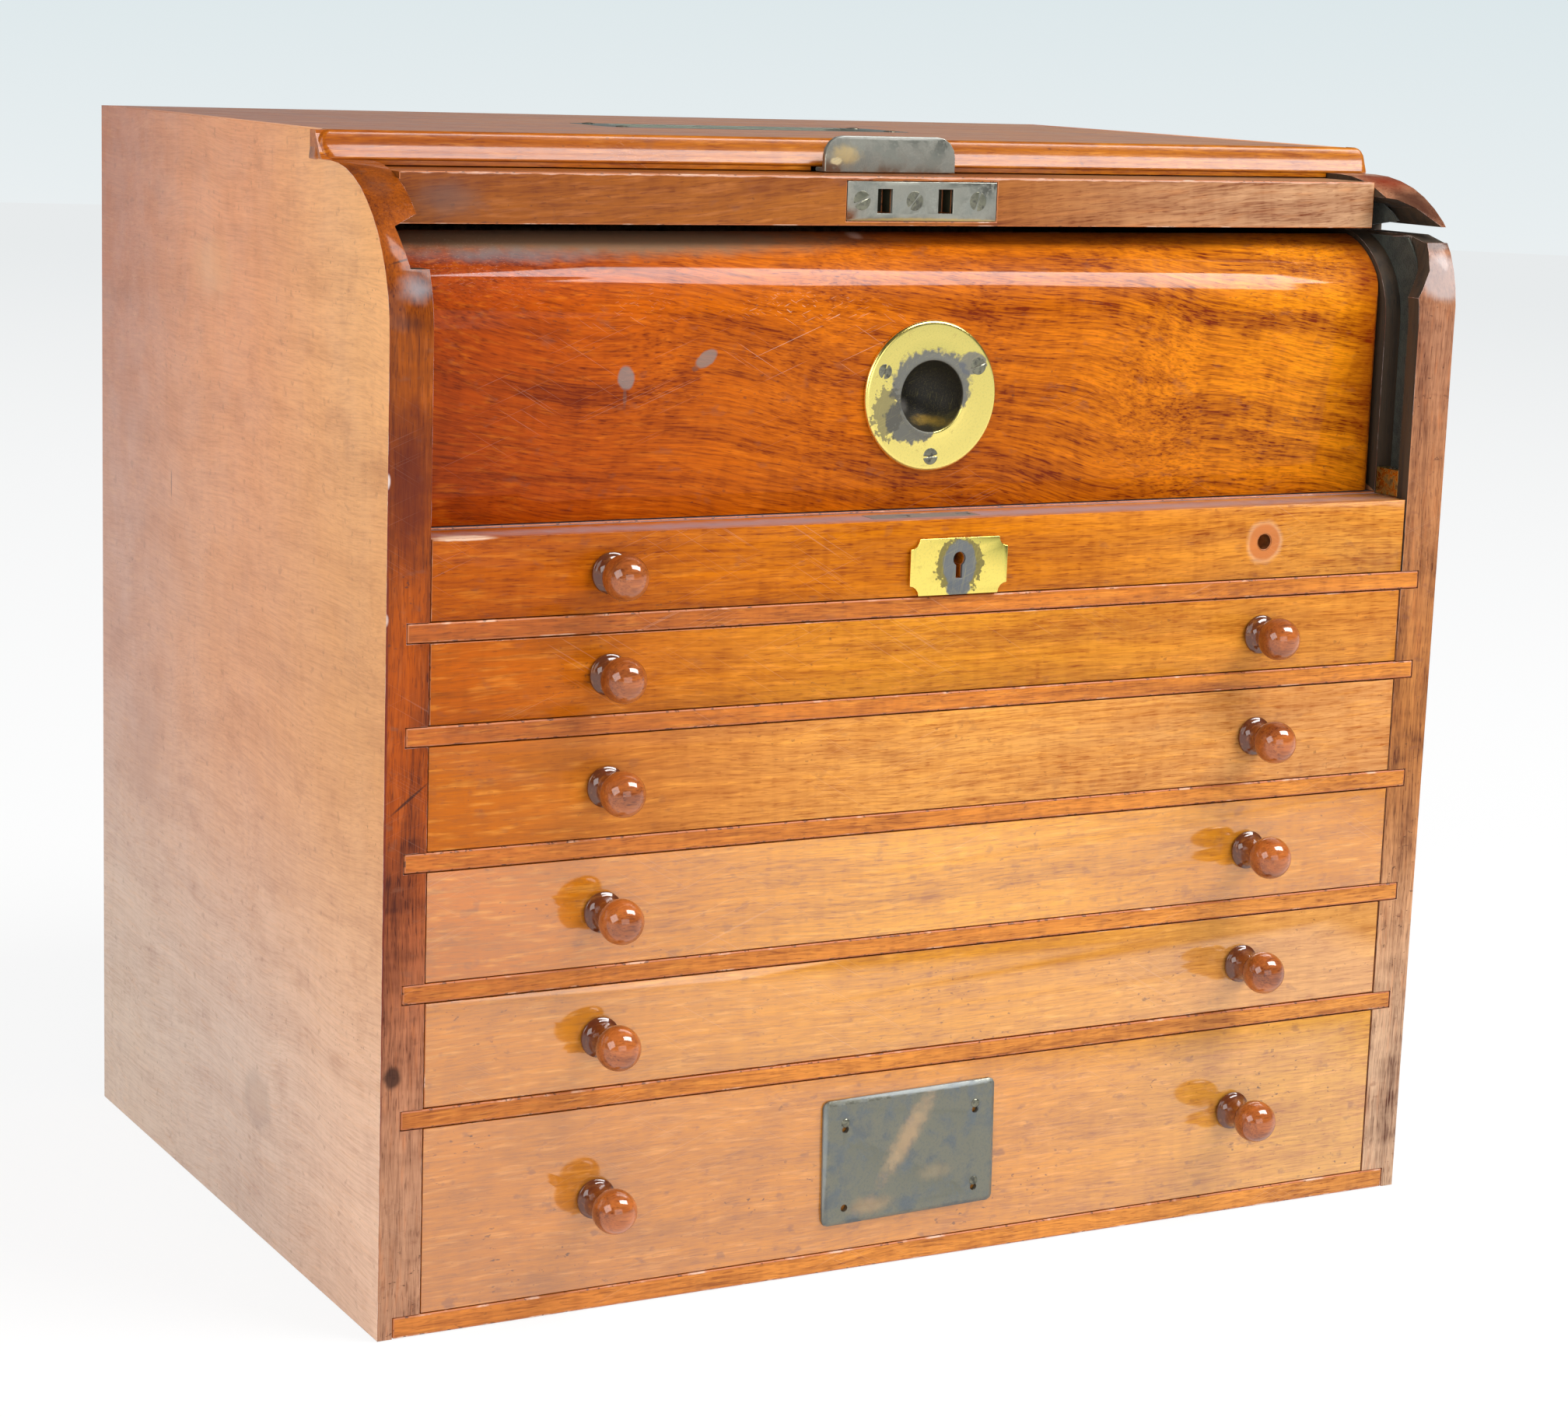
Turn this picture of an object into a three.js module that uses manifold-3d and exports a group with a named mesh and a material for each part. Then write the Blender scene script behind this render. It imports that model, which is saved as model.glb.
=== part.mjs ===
// A table-top haberdashery cabinet in mahogany: six thin drawers under a deep one, which a roll front of
// slats closes. It is built with the roll front up. Millimetres, +Z up, front towards -Y.
// Every piece is drawn with y counted back from the front edges of the sides, and the group at the end
// moves the whole so that the origin is the middle of the underside.
import * as THREE from "three";
import { mergeVertices } from "three/addons/utils/BufferGeometryUtils.js";
import Module from "manifold-3d";

const wasm = await Module();
wasm.setup();

// Carcass
const caseWidth = 406;
const caseDepth = 284;
const sideThick = 14.5;
const topThick = 9;
const baseThick = 7;
const backThick = 8;
const dividerThick = 6.2;
const openingHeights = [26, 26.6, 34.1, 36.3, 35, 62.4];
const grooveRise = 62.3;
const housingDepth = 7.5;
const baseHousing = 9.3;
const cornerRadius = 50.8;
const deepBoardRise = 0.6;

// Clearances
const seat = 0.2;
const play = 0.4;
const runClear = 0.5;
const overrun = 2;

// Nose of the top board
const noseSetback = 7.7;
const noseQuirkDepth = 2;
const noseQuirkRise = 2.1;
const noseSlope = 3.6;
const noseSlopeRise = 5.7;
const noseDepth = 10;

// Grooves that guide the roll front
const lipThick = 6;
const grooveWidth = 13;
const grooveDepth = 7.5;
const grooveRun = 132;
const liningThick = 0.8;
const stopHeight = 9.6;

// Damage to the left lip, at heights above the corner's centre
const chipWidth = 8.4;
const chipTaper = 2.2;
const chipFoot = 20.3;
const chipHead = 32.8;
const chipSlope = 4.5;
const chipDepth = 26;

// Damage to the right corner: a break right through, with both lips scalloped beside it
const breakHead = 34.1;
const breakFoot = 31;
const breakStep = 2.4;
const breakStepFront = 10.6;
const breakStepBack = 20;
const breakTip = 3;
const breakRun = 46;
const scallopWidth = 8.4;
const scallopHeight = 19;
const scallopDepth = 18;
const beakScallopWidth = 9.5;
const beakScallopHeight = 8;
const beakScallopDepth = 36;

// Roll front
const railOpenFace = 30;
const railLength = 30;
const railThick = 16.3;
const railInset = 2;
const railHeel = 13.5;
const slatThick = 5;
const slatPitch = 13;
const slatGap = 1;
const slatBevel = 1.2;
const slatBackBevel = 0.4;
const slatBackRise = 0.8;
const slatCount = 9;
const slatPlay = 0.8;

// Brass on the roll front
const lugWidth = 51;
const lugRise = 12.2;
const lugThick = 2.2;
const lugCorner = 7;
const lugSetback = 52.4;
const lugFootThick = 1.5;
const lugFootReach = 4.6;
const keeperLength = 58;
const keeperHeight = 13;
const keeperThick = 1.6;
const mortiseWidth = 5.6;
const mortiseHeight = 8;
const mortiseDepth = 7.5;
const hookPlaces = [-14.5, 9];

// Thin drawers
const frontInset = 0.3;
const frontThick = 12;
const lockFrontThick = 18.8;
const trayWall = 5;
const trayFloor = 4;
const trayBackRoom = 23.3;
const trayHeadroom = 2;
const stemHoleRadius = 2.75;

// Deep drawer
const deepArc = 30.3;
const deepFrontThick = 24;
const deepEdgeRadius = 5;
const deepTrayBackRoom = 6.1;
const deepTrayHeadroom = 12;

// Turned knobs
const knobSpacing = 254;
const knobStemRadius = 2.5;
const knobStemLength = 11;
const knobCollarRadius = 8.1;
const knobCollarThick = 2.4;
const knobNeckRadius = 4.2;
const knobHeadRadius = 8.2;
const knobLength = 24;

// Dished finger pull of the deep drawer
const pullRise = 37.8;
const pullRadius = 25.5;
const pullThick = 1.5;
const bowlRadius = 12;
const bowlDepth = 10.5;
const bowlWall = 1;

// Lock of the top drawer
const lockCentre = -7.5;
const lockWidth = 41;
const lockHeight = 21;
const lockThick = 8.4;
const lockWall = 1.6;
const boltThick = 2.6;
const boltBarHeight = 5;
const boltHookHeight = 9;
const boltHookWidth = 4;
const escutcheonCentre = 1.5;
const escutcheonWidth = 37.7;
const escutcheonHeight = 19.2;
const escutcheonThick = 1.2;
const escutcheonNotch = 3.4;
const escutcheonDrop = 15.9;
const keyholeHead = 2.4;
const keyholeSlot = 1.2;
const keyholeDrop = 6.5;

// Name plate of the bottom drawer, left blank
const plateCentre = -8.4;
const plateRise = 32.1;
const plateWidth = 67.5;
const plateHeight = 44.3;
const plateThick = 1.8;
const plateBevel = 1.6;
const plateTurn = THREE.MathUtils.degToRad(1.2);
const plateHoleRadius = 1.3;
const plateHolesAcross = 51.4;
const plateHolesUp = 28;
const plateDrop = 2.2;

// Carrying handle let into the top
const handleSetback = 163;
const handleLength = 124;
const handleWidth = 40;
const handleFlange = 1.6;
const handleCorner = 6;
const panLength = 100;
const panWidth = 28;
const panDepth = 7;
const panWall = 1.2;
const bailRadius = 2;
const bailReach = 15;
const bailBend = 3.2;
const bailSetback = 7.5;

// Fineness of round shapes
const arcSteps = 6;
const cornerSteps = 2;
const knobSteps = 7;
const turnedSteps = 16;
const plateSteps = 24;
const bailSteps = 30;
const bailSides = 8;

// Places worked out from the sizes above
const halfCase = caseWidth / 2;
const halfInside = halfCase - sideThick;
const centreY = cornerRadius;
const grooveOuter = cornerRadius - lipThick;
const grooveInner = grooveOuter - grooveWidth;
const slatOuter = grooveOuter - slatPlay;
const slatInner = slatOuter - slatThick;
const railOuter = cornerRadius - railInset;
const railInner = railOuter - railThick;
const railFoot = railOpenFace + railLength;
const halfRoll = halfInside - seat;
const boardEnd = caseDepth - backThick - seat;
const rows = openingHeights.length;
const floorOf = (row) =>
  openingHeights.slice(row + 1).reduce((height, opening) => height + opening + dividerThick, baseThick);
const ledge = floorOf(0) + openingHeights[0];
const centreZ = ledge + grooveRise;
const cornerTop = centreZ + cornerRadius;
const caseHeight = cornerTop + topThick;
const deepBoardTop = ledge + deepBoardRise;
const deepBoardFront = frontInset + lockFrontThick + seat;
const deepFloor = deepBoardTop + play;
const deepFace = centreY - deepArc;
const deepBack = deepFace + deepFrontThick;
const deepHead = centreZ + Math.sqrt(deepArc ** 2 - (centreY - deepBack) ** 2);
const noseFoot = centreY + noseSetback;
const noseBack = noseFoot + noseDepth;
const lockY = centreY - (railOuter + railInner) / 2;
const pullZ = deepFloor + pullRise;
const panFloor = caseHeight - panDepth;

const wood = { roughness: 0.35, metalness: 0 };
const metal = { roughness: 0.35, metalness: 1 };
const mahogany = new THREE.MeshStandardMaterial({ color: "#8a4a22", ...wood });
const frontMahogany = new THREE.MeshStandardMaterial({ color: "#a4501c", ...wood });
const plainWood = new THREE.MeshStandardMaterial({ color: "#9a7448", ...wood });
const lining = new THREE.MeshStandardMaterial({ color: "#23271f", roughness: 0.8, metalness: 0 });
const darkBrass = new THREE.MeshStandardMaterial({ color: "#6d7262", ...metal });
const brightBrass = new THREE.MeshStandardMaterial({ color: "#c9a24a", ...metal });
const bronze = new THREE.MeshStandardMaterial({ color: "#4a3526", ...metal });
const iron = new THREE.MeshStandardMaterial({ color: "#4b4743", ...metal });

// Directions in which an outline drawn flat is pushed: across the case, forwards, or up
const toX = new THREE.Vector3(1, 0, 0);
const toY = new THREE.Vector3(0, 1, 0);
const toZ = new THREE.Vector3(0, 0, 1);
const across = new THREE.Matrix4().makeBasis(toY, toZ, toX);
const forwards = new THREE.Matrix4().makeBasis(toX, toZ, toY.clone().negate());

// A closed geometry as a solid that can be cut and joined.
function solid(geometry) {
  const bare = geometry.clone();
  bare.deleteAttribute("normal");
  bare.deleteAttribute("uv");
  const merged = mergeVertices(bare);
  const corners = merged.index.array;
  const kept = [];
  for (let i = 0; i < corners.length; i += 3) {
    const [a, b, c] = corners.slice(i, i + 3);
    if (a !== b && b !== c && c !== a) kept.push(a, b, c);
  }
  const vertProperties = new Float32Array(merged.attributes.position.array);
  const triVerts = new Uint32Array(kept);
  return new wasm.Manifold(new wasm.Mesh({ numProp: 3, vertProperties, triVerts }));
}

// A solid as a geometry that a mesh can show.
function surface(body) {
  const { vertProperties, triVerts } = body.getMesh();
  const geometry = new THREE.BufferGeometry();
  geometry.setAttribute("position", new THREE.BufferAttribute(vertProperties, 3));
  geometry.setIndex(new THREE.BufferAttribute(triVerts, 1));
  geometry.computeVertexNormals();
  return geometry;
}

const cut = (body, ...tools) => tools.reduce((left, tool) => left.subtract(tool), body);
const join = (body, ...others) => others.reduce((whole, other) => whole.add(other), body);

// A solid block between two values on each axis.
function block(x0, x1, y0, y1, z0, z1) {
  const box = new THREE.BoxGeometry(x1 - x0, y1 - y0, z1 - z0);
  return solid(box.translate((x0 + x1) / 2, (y0 + y1) / 2, (z0 + z1) / 2));
}

// An outline pushed from its plane by a length, along the direction that the basis gives.
function pushed(shape, length, basis, offset, steps) {
  const options = { depth: length, bevelEnabled: false, curveSegments: steps };
  const geometry = new THREE.ExtrudeGeometry(shape, options);
  if (basis) geometry.applyMatrix4(basis);
  return solid(geometry.translate(offset.x, offset.y, offset.z));
}

// An outline in y and z, pushed from one x to another.
const beam = (shape, x0, x1) => pushed(shape, x1 - x0, across, new THREE.Vector3(x0, 0, 0), arcSteps);
// An outline in x and z, pushed from one y back to another.
const panel = (shape, y0, y1) => pushed(shape, y1 - y0, forwards, new THREE.Vector3(0, y1, 0), cornerSteps);
// An outline in x and y, pushed up from one z to another.
const slab = (shape, z0, z1) => pushed(shape, z1 - z0, null, new THREE.Vector3(0, 0, z0), cornerSteps);

// A straight-sided outline.
function outlineOf(points) {
  return new THREE.Shape(points.map(([u, v]) => new THREE.Vector2(u, v)));
}

// A rectangle about a point, with rounded corners.
function roundedRect(width, height, radius, u = 0, v = 0) {
  const shape = new THREE.Shape();
  const [w, h] = [width / 2 - radius, height / 2 - radius];
  shape.absarc(u + w, v - h, radius, -Math.PI / 2, 0);
  shape.absarc(u + w, v + h, radius, 0, Math.PI / 2);
  shape.absarc(u - w, v + h, radius, Math.PI / 2, Math.PI);
  shape.absarc(u - w, v - h, radius, Math.PI, Math.PI * 3 / 2);
  return shape;
}

// A round rod or hole along y.
function rod(radius, x, y0, y1, z, steps = turnedSteps) {
  const cylinder = new THREE.CylinderGeometry(radius, radius, y1 - y0, steps);
  return solid(cylinder.translate(x, (y0 + y1) / 2, z));
}

// A profile of radius and height in front of a face, turned about y.
function turned(points, steps) {
  const profile = points.map(([radius, height]) => new THREE.Vector2(radius, height));
  return new THREE.LatheGeometry(profile, steps).rotateX(Math.PI);
}

function mesh(name, body, material) {
  const part = new THREE.Mesh(body.isBufferGeometry ? body : surface(body), material);
  part.name = name;
  return part;
}

// Sides
// The end of the case, with a quarter round at the top front corner and a notch for the nose.
function sideOutline() {
  const shape = new THREE.Shape();
  shape.moveTo(0, 0);
  shape.lineTo(caseDepth, 0);
  shape.lineTo(caseDepth, caseHeight);
  shape.lineTo(noseBack + seat, caseHeight);
  shape.lineTo(noseBack + seat, cornerTop);
  shape.absarc(centreY, centreZ, cornerRadius, Math.PI / 2, Math.PI);
  return shape;
}

// The path of the roll front: up, round the corner and back under the top.
function grooveOutline(inset) {
  const shape = new THREE.Shape();
  const [outer, inner] = [grooveOuter - inset, grooveInner + inset];
  shape.moveTo(centreY - inner, ledge + inset);
  shape.lineTo(centreY - outer, ledge + inset);
  shape.absarc(centreY, centreZ, outer, Math.PI, Math.PI / 2, true);
  shape.lineTo(centreY + grooveRun - inset, centreZ + outer);
  shape.lineTo(centreY + grooveRun - inset, centreZ + inner);
  shape.absarc(centreY, centreZ, inner, Math.PI / 2, Math.PI);
  return shape;
}

// A block cut into one side's inner face, to a depth. The side is 1 on the right and -1 on the left.
function housing(side, depth, y0, y1, z0, z1) {
  const [near, far] = [side * (halfInside - overrun), side * (halfInside + depth)];
  return block(Math.min(near, far), Math.max(near, far), y0, y1, z0, z1);
}

function sideBoard(side) {
  const [inner, outer] = [side * halfInside, side * halfCase];
  const body = beam(sideOutline(), Math.min(inner, outer), Math.max(inner, outer));
  const depth = housingDepth + seat;
  const front = -overrun;
  const end = boardEnd + seat;
  const groove = [side * (halfInside - overrun), side * (halfInside + grooveDepth)];
  const cuts = [
    housing(side, baseHousing + seat, front, end, -overrun, baseThick + seat),
    housing(side, depth, deepBoardFront - seat, end, deepBoardTop - dividerThick - seat, deepBoardTop + seat),
    housing(side, depth, noseBack, caseDepth + overrun, cornerTop - seat, caseHeight + overrun),
    beam(grooveOutline(0), Math.min(...groove), Math.max(...groove)),
  ];
  for (let row = 0; row < rows - 1; row += 1) {
    const top = floorOf(row);
    cuts.push(housing(side, depth, front, end, top - dividerThick - seat, top + seat));
  }
  return cut(body, ...cuts);
}

// The inner part of the left lip is missing over a short height.
function leftChip() {
  const [face, floor] = [-halfInside + overrun, -halfInside - chipWidth];
  const shape = outlineOf([
    [face, centreZ + chipFoot],
    [floor + chipTaper, centreZ + chipFoot],
    [floor, centreZ + chipHead],
    [face, centreZ + chipHead + chipSlope],
  ]);
  return panel(shape, -overrun, chipDepth);
}

// A break through the whole right corner, with a step in its lower edge and a rounded tip.
function rightBreak() {
  const [upper, lower, head] = [centreZ + breakFoot, centreZ + breakFoot - breakStep, centreZ + breakHead];
  const shape = outlineOf([
    [-overrun, lower - breakTip],
    [breakTip - overrun, lower - breakTip],
    [breakTip, lower],
    [breakStepFront, lower],
    [breakStepBack, upper],
    [breakRun, upper],
    [breakRun, head],
    [-overrun, head],
  ]);
  return beam(shape, halfInside - overrun, halfCase + overrun);
}

// A quarter of an ellipse bitten out of a lip's inner edge, up or down from the break.
function scallop(width, height, depth, z, way) {
  const shape = new THREE.Shape();
  const [left, right] = [halfInside - overrun, halfInside + width];
  shape.moveTo(left, z - way * overrun);
  shape.lineTo(right, z - way * overrun);
  shape.lineTo(right, z);
  shape.quadraticCurveTo(right, z + way * height / 2, halfInside, z + way * height);
  shape.lineTo(left, z + way * height);
  return panel(shape, -overrun, depth);
}

function carcass() {
  const group = new THREE.Group();
  const left = cut(sideBoard(-1), leftChip());
  const [low, high] = [centreZ + breakFoot - breakStep, centreZ + breakHead];
  const lowerScallop = scallop(scallopWidth, scallopHeight, scallopDepth, low, -1);
  const beakScallop = scallop(beakScallopWidth, beakScallopHeight, beakScallopDepth, high, 1);
  const right = cut(sideBoard(1), rightBreak(), lowerScallop, beakScallop);
  const halfBoard = halfInside + housingDepth;
  const halfBase = halfInside + baseHousing;
  group.add(mesh("side_left", left, mahogany));
  group.add(mesh("side_right", right, mahogany));
  group.add(mesh("base_board", block(-halfBase, halfBase, 0, boardEnd, 0, baseThick), mahogany));
  const back = block(-halfRoll, halfRoll, boardEnd + seat, caseDepth, 0, cornerTop - seat);
  group.add(mesh("back_board", back, plainWood));
  for (let row = 0; row < rows - 1; row += 1) {
    const top = floorOf(row);
    const board = block(-halfBoard, halfBoard, 0, boardEnd, top - dividerThick, top);
    group.add(mesh(`divider_${row + 1}`, board, mahogany));
  }
  const deepUnder = deepBoardTop - dividerThick;
  const deepBoard = block(-halfBoard, halfBoard, deepBoardFront, boardEnd, deepUnder, deepBoardTop);
  group.add(mesh("deep_board", deepBoard, mahogany));
  group.add(mesh("top_board", topBoard(halfBoard), mahogany));
  for (const side of [-1, 1]) group.add(...grooveFittings(side));
  return group;
}

// The top board lies in rebates of the sides, and its nose runs over them to their outer faces.
function topBoard(halfBoard) {
  const nose = outlineOf([
    [noseFoot, cornerTop],
    [noseBack, cornerTop],
    [noseBack, caseHeight],
    [noseFoot + noseQuirkDepth + noseSlope, caseHeight],
    [noseFoot + noseQuirkDepth + noseSlope, cornerTop + noseQuirkRise + noseSlopeRise],
    [noseFoot + noseQuirkDepth, cornerTop + noseQuirkRise],
  ]);
  const board = block(-halfBoard, halfBoard, noseBack - overrun, caseDepth, cornerTop, caseHeight);
  const mortise = roundedRect(panLength + seat * 2, panWidth + seat * 2, seat, 0, handleSetback);
  const recess = roundedRect(handleLength + seat * 2, handleWidth + seat * 2, handleCorner, 0, handleSetback);
  return cut(
    join(board, beam(nose, -halfCase, halfCase)),
    slab(mortise, cornerTop - overrun, caseHeight + overrun),
    slab(recess, caseHeight - handleFlange - seat, caseHeight + overrun),
  );
}

// The lining on a groove's floor, and the brass block that closes the groove's foot.
function grooveFittings(side) {
  const name = side < 0 ? "left" : "right";
  const floor = halfInside + grooveDepth - seat;
  const liningEdges = [side * (floor - liningThick), side * floor];
  const strip = beam(grooveOutline(seat), Math.min(...liningEdges), Math.max(...liningEdges));
  const stopEdges = [side * (halfInside + seat), side * (floor - liningThick - seat)];
  const [front, back] = [centreY - grooveOuter + seat, centreY - grooveInner - seat];
  const foot = ledge + seat;
  const stop = block(Math.min(...stopEdges), Math.max(...stopEdges), front, back, foot, foot + stopHeight);
  return [mesh(`groove_lining_${name}`, strip, lining), mesh(`groove_stop_${name}`, stop, darkBrass)];
}

// Roll front
// The leading rail is thick at its heel only, so that it turns the corner over the deep drawer.
function rail() {
  const shape = outlineOf([
    [railOpenFace, centreZ + railInner],
    [railOpenFace + railHeel, centreZ + railInner],
    [railOpenFace + railHeel, centreZ + slatInner],
    [railFoot, centreZ + slatInner],
    [railFoot, centreZ + railOuter],
    [railOpenFace, centreZ + railOuter],
  ]);
  const recess = railOpenFace + keeperThick + seat;
  const keeperZ = centreZ + (railInner + railOuter) / 2;
  const [w, h] = [keeperLength / 2 + seat, keeperHeight / 2 + seat];
  const bed = block(-w, w, railOpenFace - overrun, recess, keeperZ - h, keeperZ + h);
  const pockets = hookPlaces.map((x) =>
    mortise(x, keeperZ, seat, railOpenFace - overrun, railOpenFace + mortiseDepth));
  return cut(beam(shape, -halfRoll, halfRoll), bed, ...pockets);
}

function mortise(x, z, room, y0, y1) {
  const [w, h] = [mortiseWidth / 2 + room, mortiseHeight / 2 + room];
  return block(x - w, x + w, y0, y1, z - h, z + h);
}

function keeper() {
  const z = centreZ + (railInner + railOuter) / 2;
  const [w, h] = [keeperLength / 2, keeperHeight / 2];
  const plate = block(-w, w, railOpenFace, railOpenFace + keeperThick, z - h, z + h);
  const [front, back] = [railOpenFace - overrun, railOpenFace + keeperThick + overrun];
  return cut(plate, ...hookPlaces.map((x) => mortise(x, z, 0, front, back)));
}

// The lug is lifted with a finger: an upright plate with round shoulders on a foot.
function lug() {
  const foot = centreZ + railOuter + seat;
  const head = foot + lugRise;
  const [half, shoulder] = [lugWidth / 2, lugWidth / 2 - lugCorner];
  const shape = new THREE.Shape();
  shape.moveTo(-half, foot);
  shape.lineTo(half, foot);
  shape.absarc(shoulder, head - lugCorner, lugCorner, 0, Math.PI / 2);
  shape.absarc(-shoulder, head - lugCorner, lugCorner, Math.PI / 2, Math.PI);
  const back = lugSetback + lugThick;
  const base = block(-half, half, back - overrun / 2, back + lugFootReach, foot, foot + lugFootThick);
  return join(panel(shape, lugSetback, back), base);
}

// One slat under the top, with its edges eased so that neighbours clear each other round the corner.
function slatOutline(index) {
  const start = railFoot + slatPitch * index + slatGap / 2;
  const end = start + slatPitch - slatGap;
  const [low, high] = [centreZ + slatInner, centreZ + slatOuter];
  return outlineOf([
    [start + slatBackBevel, low],
    [end - slatBackBevel, low],
    [end, low + slatBackRise],
    [end, high - slatBevel],
    [end - slatBevel, high],
    [start + slatBevel, high],
    [start, high - slatBevel],
    [start, low + slatBackRise],
  ]);
}

function rollFront() {
  const group = new THREE.Group();
  group.add(mesh("shutter_rail", rail(), frontMahogany));
  group.add(mesh("keeper_plate", keeper(), darkBrass));
  group.add(mesh("lifting_lug", lug(), darkBrass));
  for (let index = 0; index < slatCount; index += 1) {
    group.add(mesh(`slat_${index + 1}`, beam(slatOutline(index), -halfRoll, halfRoll), frontMahogany));
  }
  return group;
}

// Drawers
// An open tray between two depths, standing on z0.
function tray(half, y0, y1, z0, z1) {
  const room = half - trayWall;
  const inside = block(-room, room, y0 + trayWall, y1 - trayWall, z0 + trayFloor, z1 + overrun);
  return cut(block(-half, half, y0, y1, z0, z1), inside);
}

const stemHoles = (z, y0, y1) =>
  [-knobSpacing / 2, knobSpacing / 2].map((x) => rod(stemHoleRadius, x, y0 - overrun, y1 + overrun, z));

// A thin drawer's group stands on its own floor, so its own z starts at the drawer's lower edge.
function thinDrawer(row) {
  const group = new THREE.Group();
  const number = row + 1;
  const top = row === 0;
  const thick = top ? lockFrontThick : frontThick;
  const height = openingHeights[row] - (top ? play : play * 2);
  const half = halfInside - runClear;
  const back = frontInset + thick;
  const board = block(-half, half, frontInset, back, 0, height);
  const holes = stemHoles(height / 2, frontInset, back);
  const extra = top ? [lockPocket(height), keyhole(height, frontInset - overrun, lockY)] : [];
  const headroom = top ? dividerThick - deepBoardRise + trayHeadroom : trayHeadroom;
  const box = tray(half - seat, back + seat, boardEnd - trayBackRoom, 0, height - headroom);
  group.position.z = floorOf(row) + play;
  group.add(mesh(`drawer_${number}_front`, cut(board, ...holes, ...extra), frontMahogany));
  group.add(mesh(`drawer_${number}_tray`, box, plainWood));
  group.add(...knobs(number, height / 2, top ? [-1] : [-1, 1]));
  if (top) group.add(...lock(height));
  if (row === rows - 1) group.add(namePlate());
  return group;
}

// A knob with a collar, a neck and a round head, and the stem that fits the front's hole.
function knobProfile() {
  const headZ = knobLength - knobHeadRadius;
  const neckTop = headZ - Math.sqrt(knobHeadRadius ** 2 - knobNeckRadius ** 2);
  const points = [
    [0, -knobStemLength],
    [knobStemRadius, -knobStemLength],
    [knobStemRadius, seat],
    [knobCollarRadius, seat],
    [knobCollarRadius, knobCollarThick / 2],
    [(knobCollarRadius + knobNeckRadius) / 2, knobCollarThick],
    [knobNeckRadius, (knobCollarThick + neckTop) / 2],
  ];
  const start = Math.acos((headZ - neckTop) / knobHeadRadius);
  for (let step = 0; step < knobSteps; step += 1) {
    const angle = start + (Math.PI - start) * step / knobSteps;
    points.push([knobHeadRadius * Math.sin(angle), headZ - knobHeadRadius * Math.cos(angle)]);
  }
  points.push([0, knobLength]);
  return points;
}

function knobs(number, z, sides) {
  const geometry = surface(solid(turned(knobProfile(), turnedSteps)));
  return sides.map((side) => {
    const knob = mesh(`knob_${number}_${side < 0 ? "left" : "right"}`, geometry, frontMahogany);
    knob.position.set(side * knobSpacing / 2, frontInset, z);
    return knob;
  });
}

// Lock
// The lock case stands in a pocket, with its top plate flush with the drawer's upper edge.
function lockPocket(height) {
  const [w, t] = [lockWidth / 2 + seat, lockThick / 2 + seat];
  const floor = height - lockHeight - seat;
  return block(lockCentre - w, lockCentre + w, lockY - t, lockY + t, floor, height + overrun);
}

function keyhole(height, y0, y1) {
  const z = height - escutcheonDrop + keyholeHead;
  const slot = block(
    escutcheonCentre - keyholeSlot, escutcheonCentre + keyholeSlot, y0, y1, z - keyholeDrop, z);
  return join(rod(keyholeHead, escutcheonCentre, y0, y1, z), slot);
}

function lock(height) {
  return [
    mesh("lock_case", lockCase(height), iron),
    mesh("lock_bolt", lockBolt(height), darkBrass),
    mesh("escutcheon", escutcheon(height), brightBrass),
  ];
}

function lockCase(height) {
  const [w, t] = [lockWidth / 2, lockThick / 2];
  const floor = height - lockHeight;
  const hollow = block(
    lockCentre - w + lockWall, lockCentre + w - lockWall, lockY - t + lockWall, lockY + t - lockWall,
    floor + lockWall, height - lockWall);
  const [hookHalf, boltHalf] = [boltHookWidth / 2 + play, boltThick / 2 + play];
  const [front, back] = [lockY - boltHalf, lockY + boltHalf];
  const [low, high] = [height - lockWall - overrun, height + overrun];
  const slots = hookPlaces.map((x) => block(x - hookHalf, x + hookHalf, front, back, low, high));
  const body = block(lockCentre - w, lockCentre + w, lockY - t, lockY + t, floor, height);
  return cut(body, hollow, keyhole(height, frontInset - overrun, front), ...slots);
}

// A bar with two hooks, which rise out of the case's top plate into the leading rail.
function lockBolt(height) {
  const [hook, thick] = [boltHookWidth / 2, boltThick / 2];
  const [front, back] = [lockY - thick, lockY + thick];
  const barTop = height - boltHookHeight - seat;
  const barFloor = barTop - boltBarHeight;
  const bar = block(hookPlaces[0] - hook, hookPlaces[1] + hook, front, back, barFloor, barTop);
  const hooks = hookPlaces.map((x) => block(x - hook, x + hook, front, back, barFloor, height - seat));
  return join(bar, ...hooks);
}

// A plate with hollowed corners and a keyhole.
function escutcheon(height) {
  const [w, h, n] = [escutcheonWidth / 2, escutcheonHeight / 2, escutcheonNotch];
  const [u, v] = [escutcheonCentre, height - escutcheonDrop];
  const quarter = Math.PI / 2;
  const shape = new THREE.Shape();
  shape.absarc(u + w, v - h, n, quarter * 2, quarter, true);
  shape.absarc(u + w, v + h, n, quarter * 3, quarter * 2, true);
  shape.absarc(u - w, v + h, n, 0, -quarter, true);
  shape.absarc(u - w, v - h, n, quarter, 0, true);
  const back = frontInset - seat;
  const front = back - escutcheonThick;
  return cut(panel(shape, front, back), keyhole(height, front - overrun, lockY));
}

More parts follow.
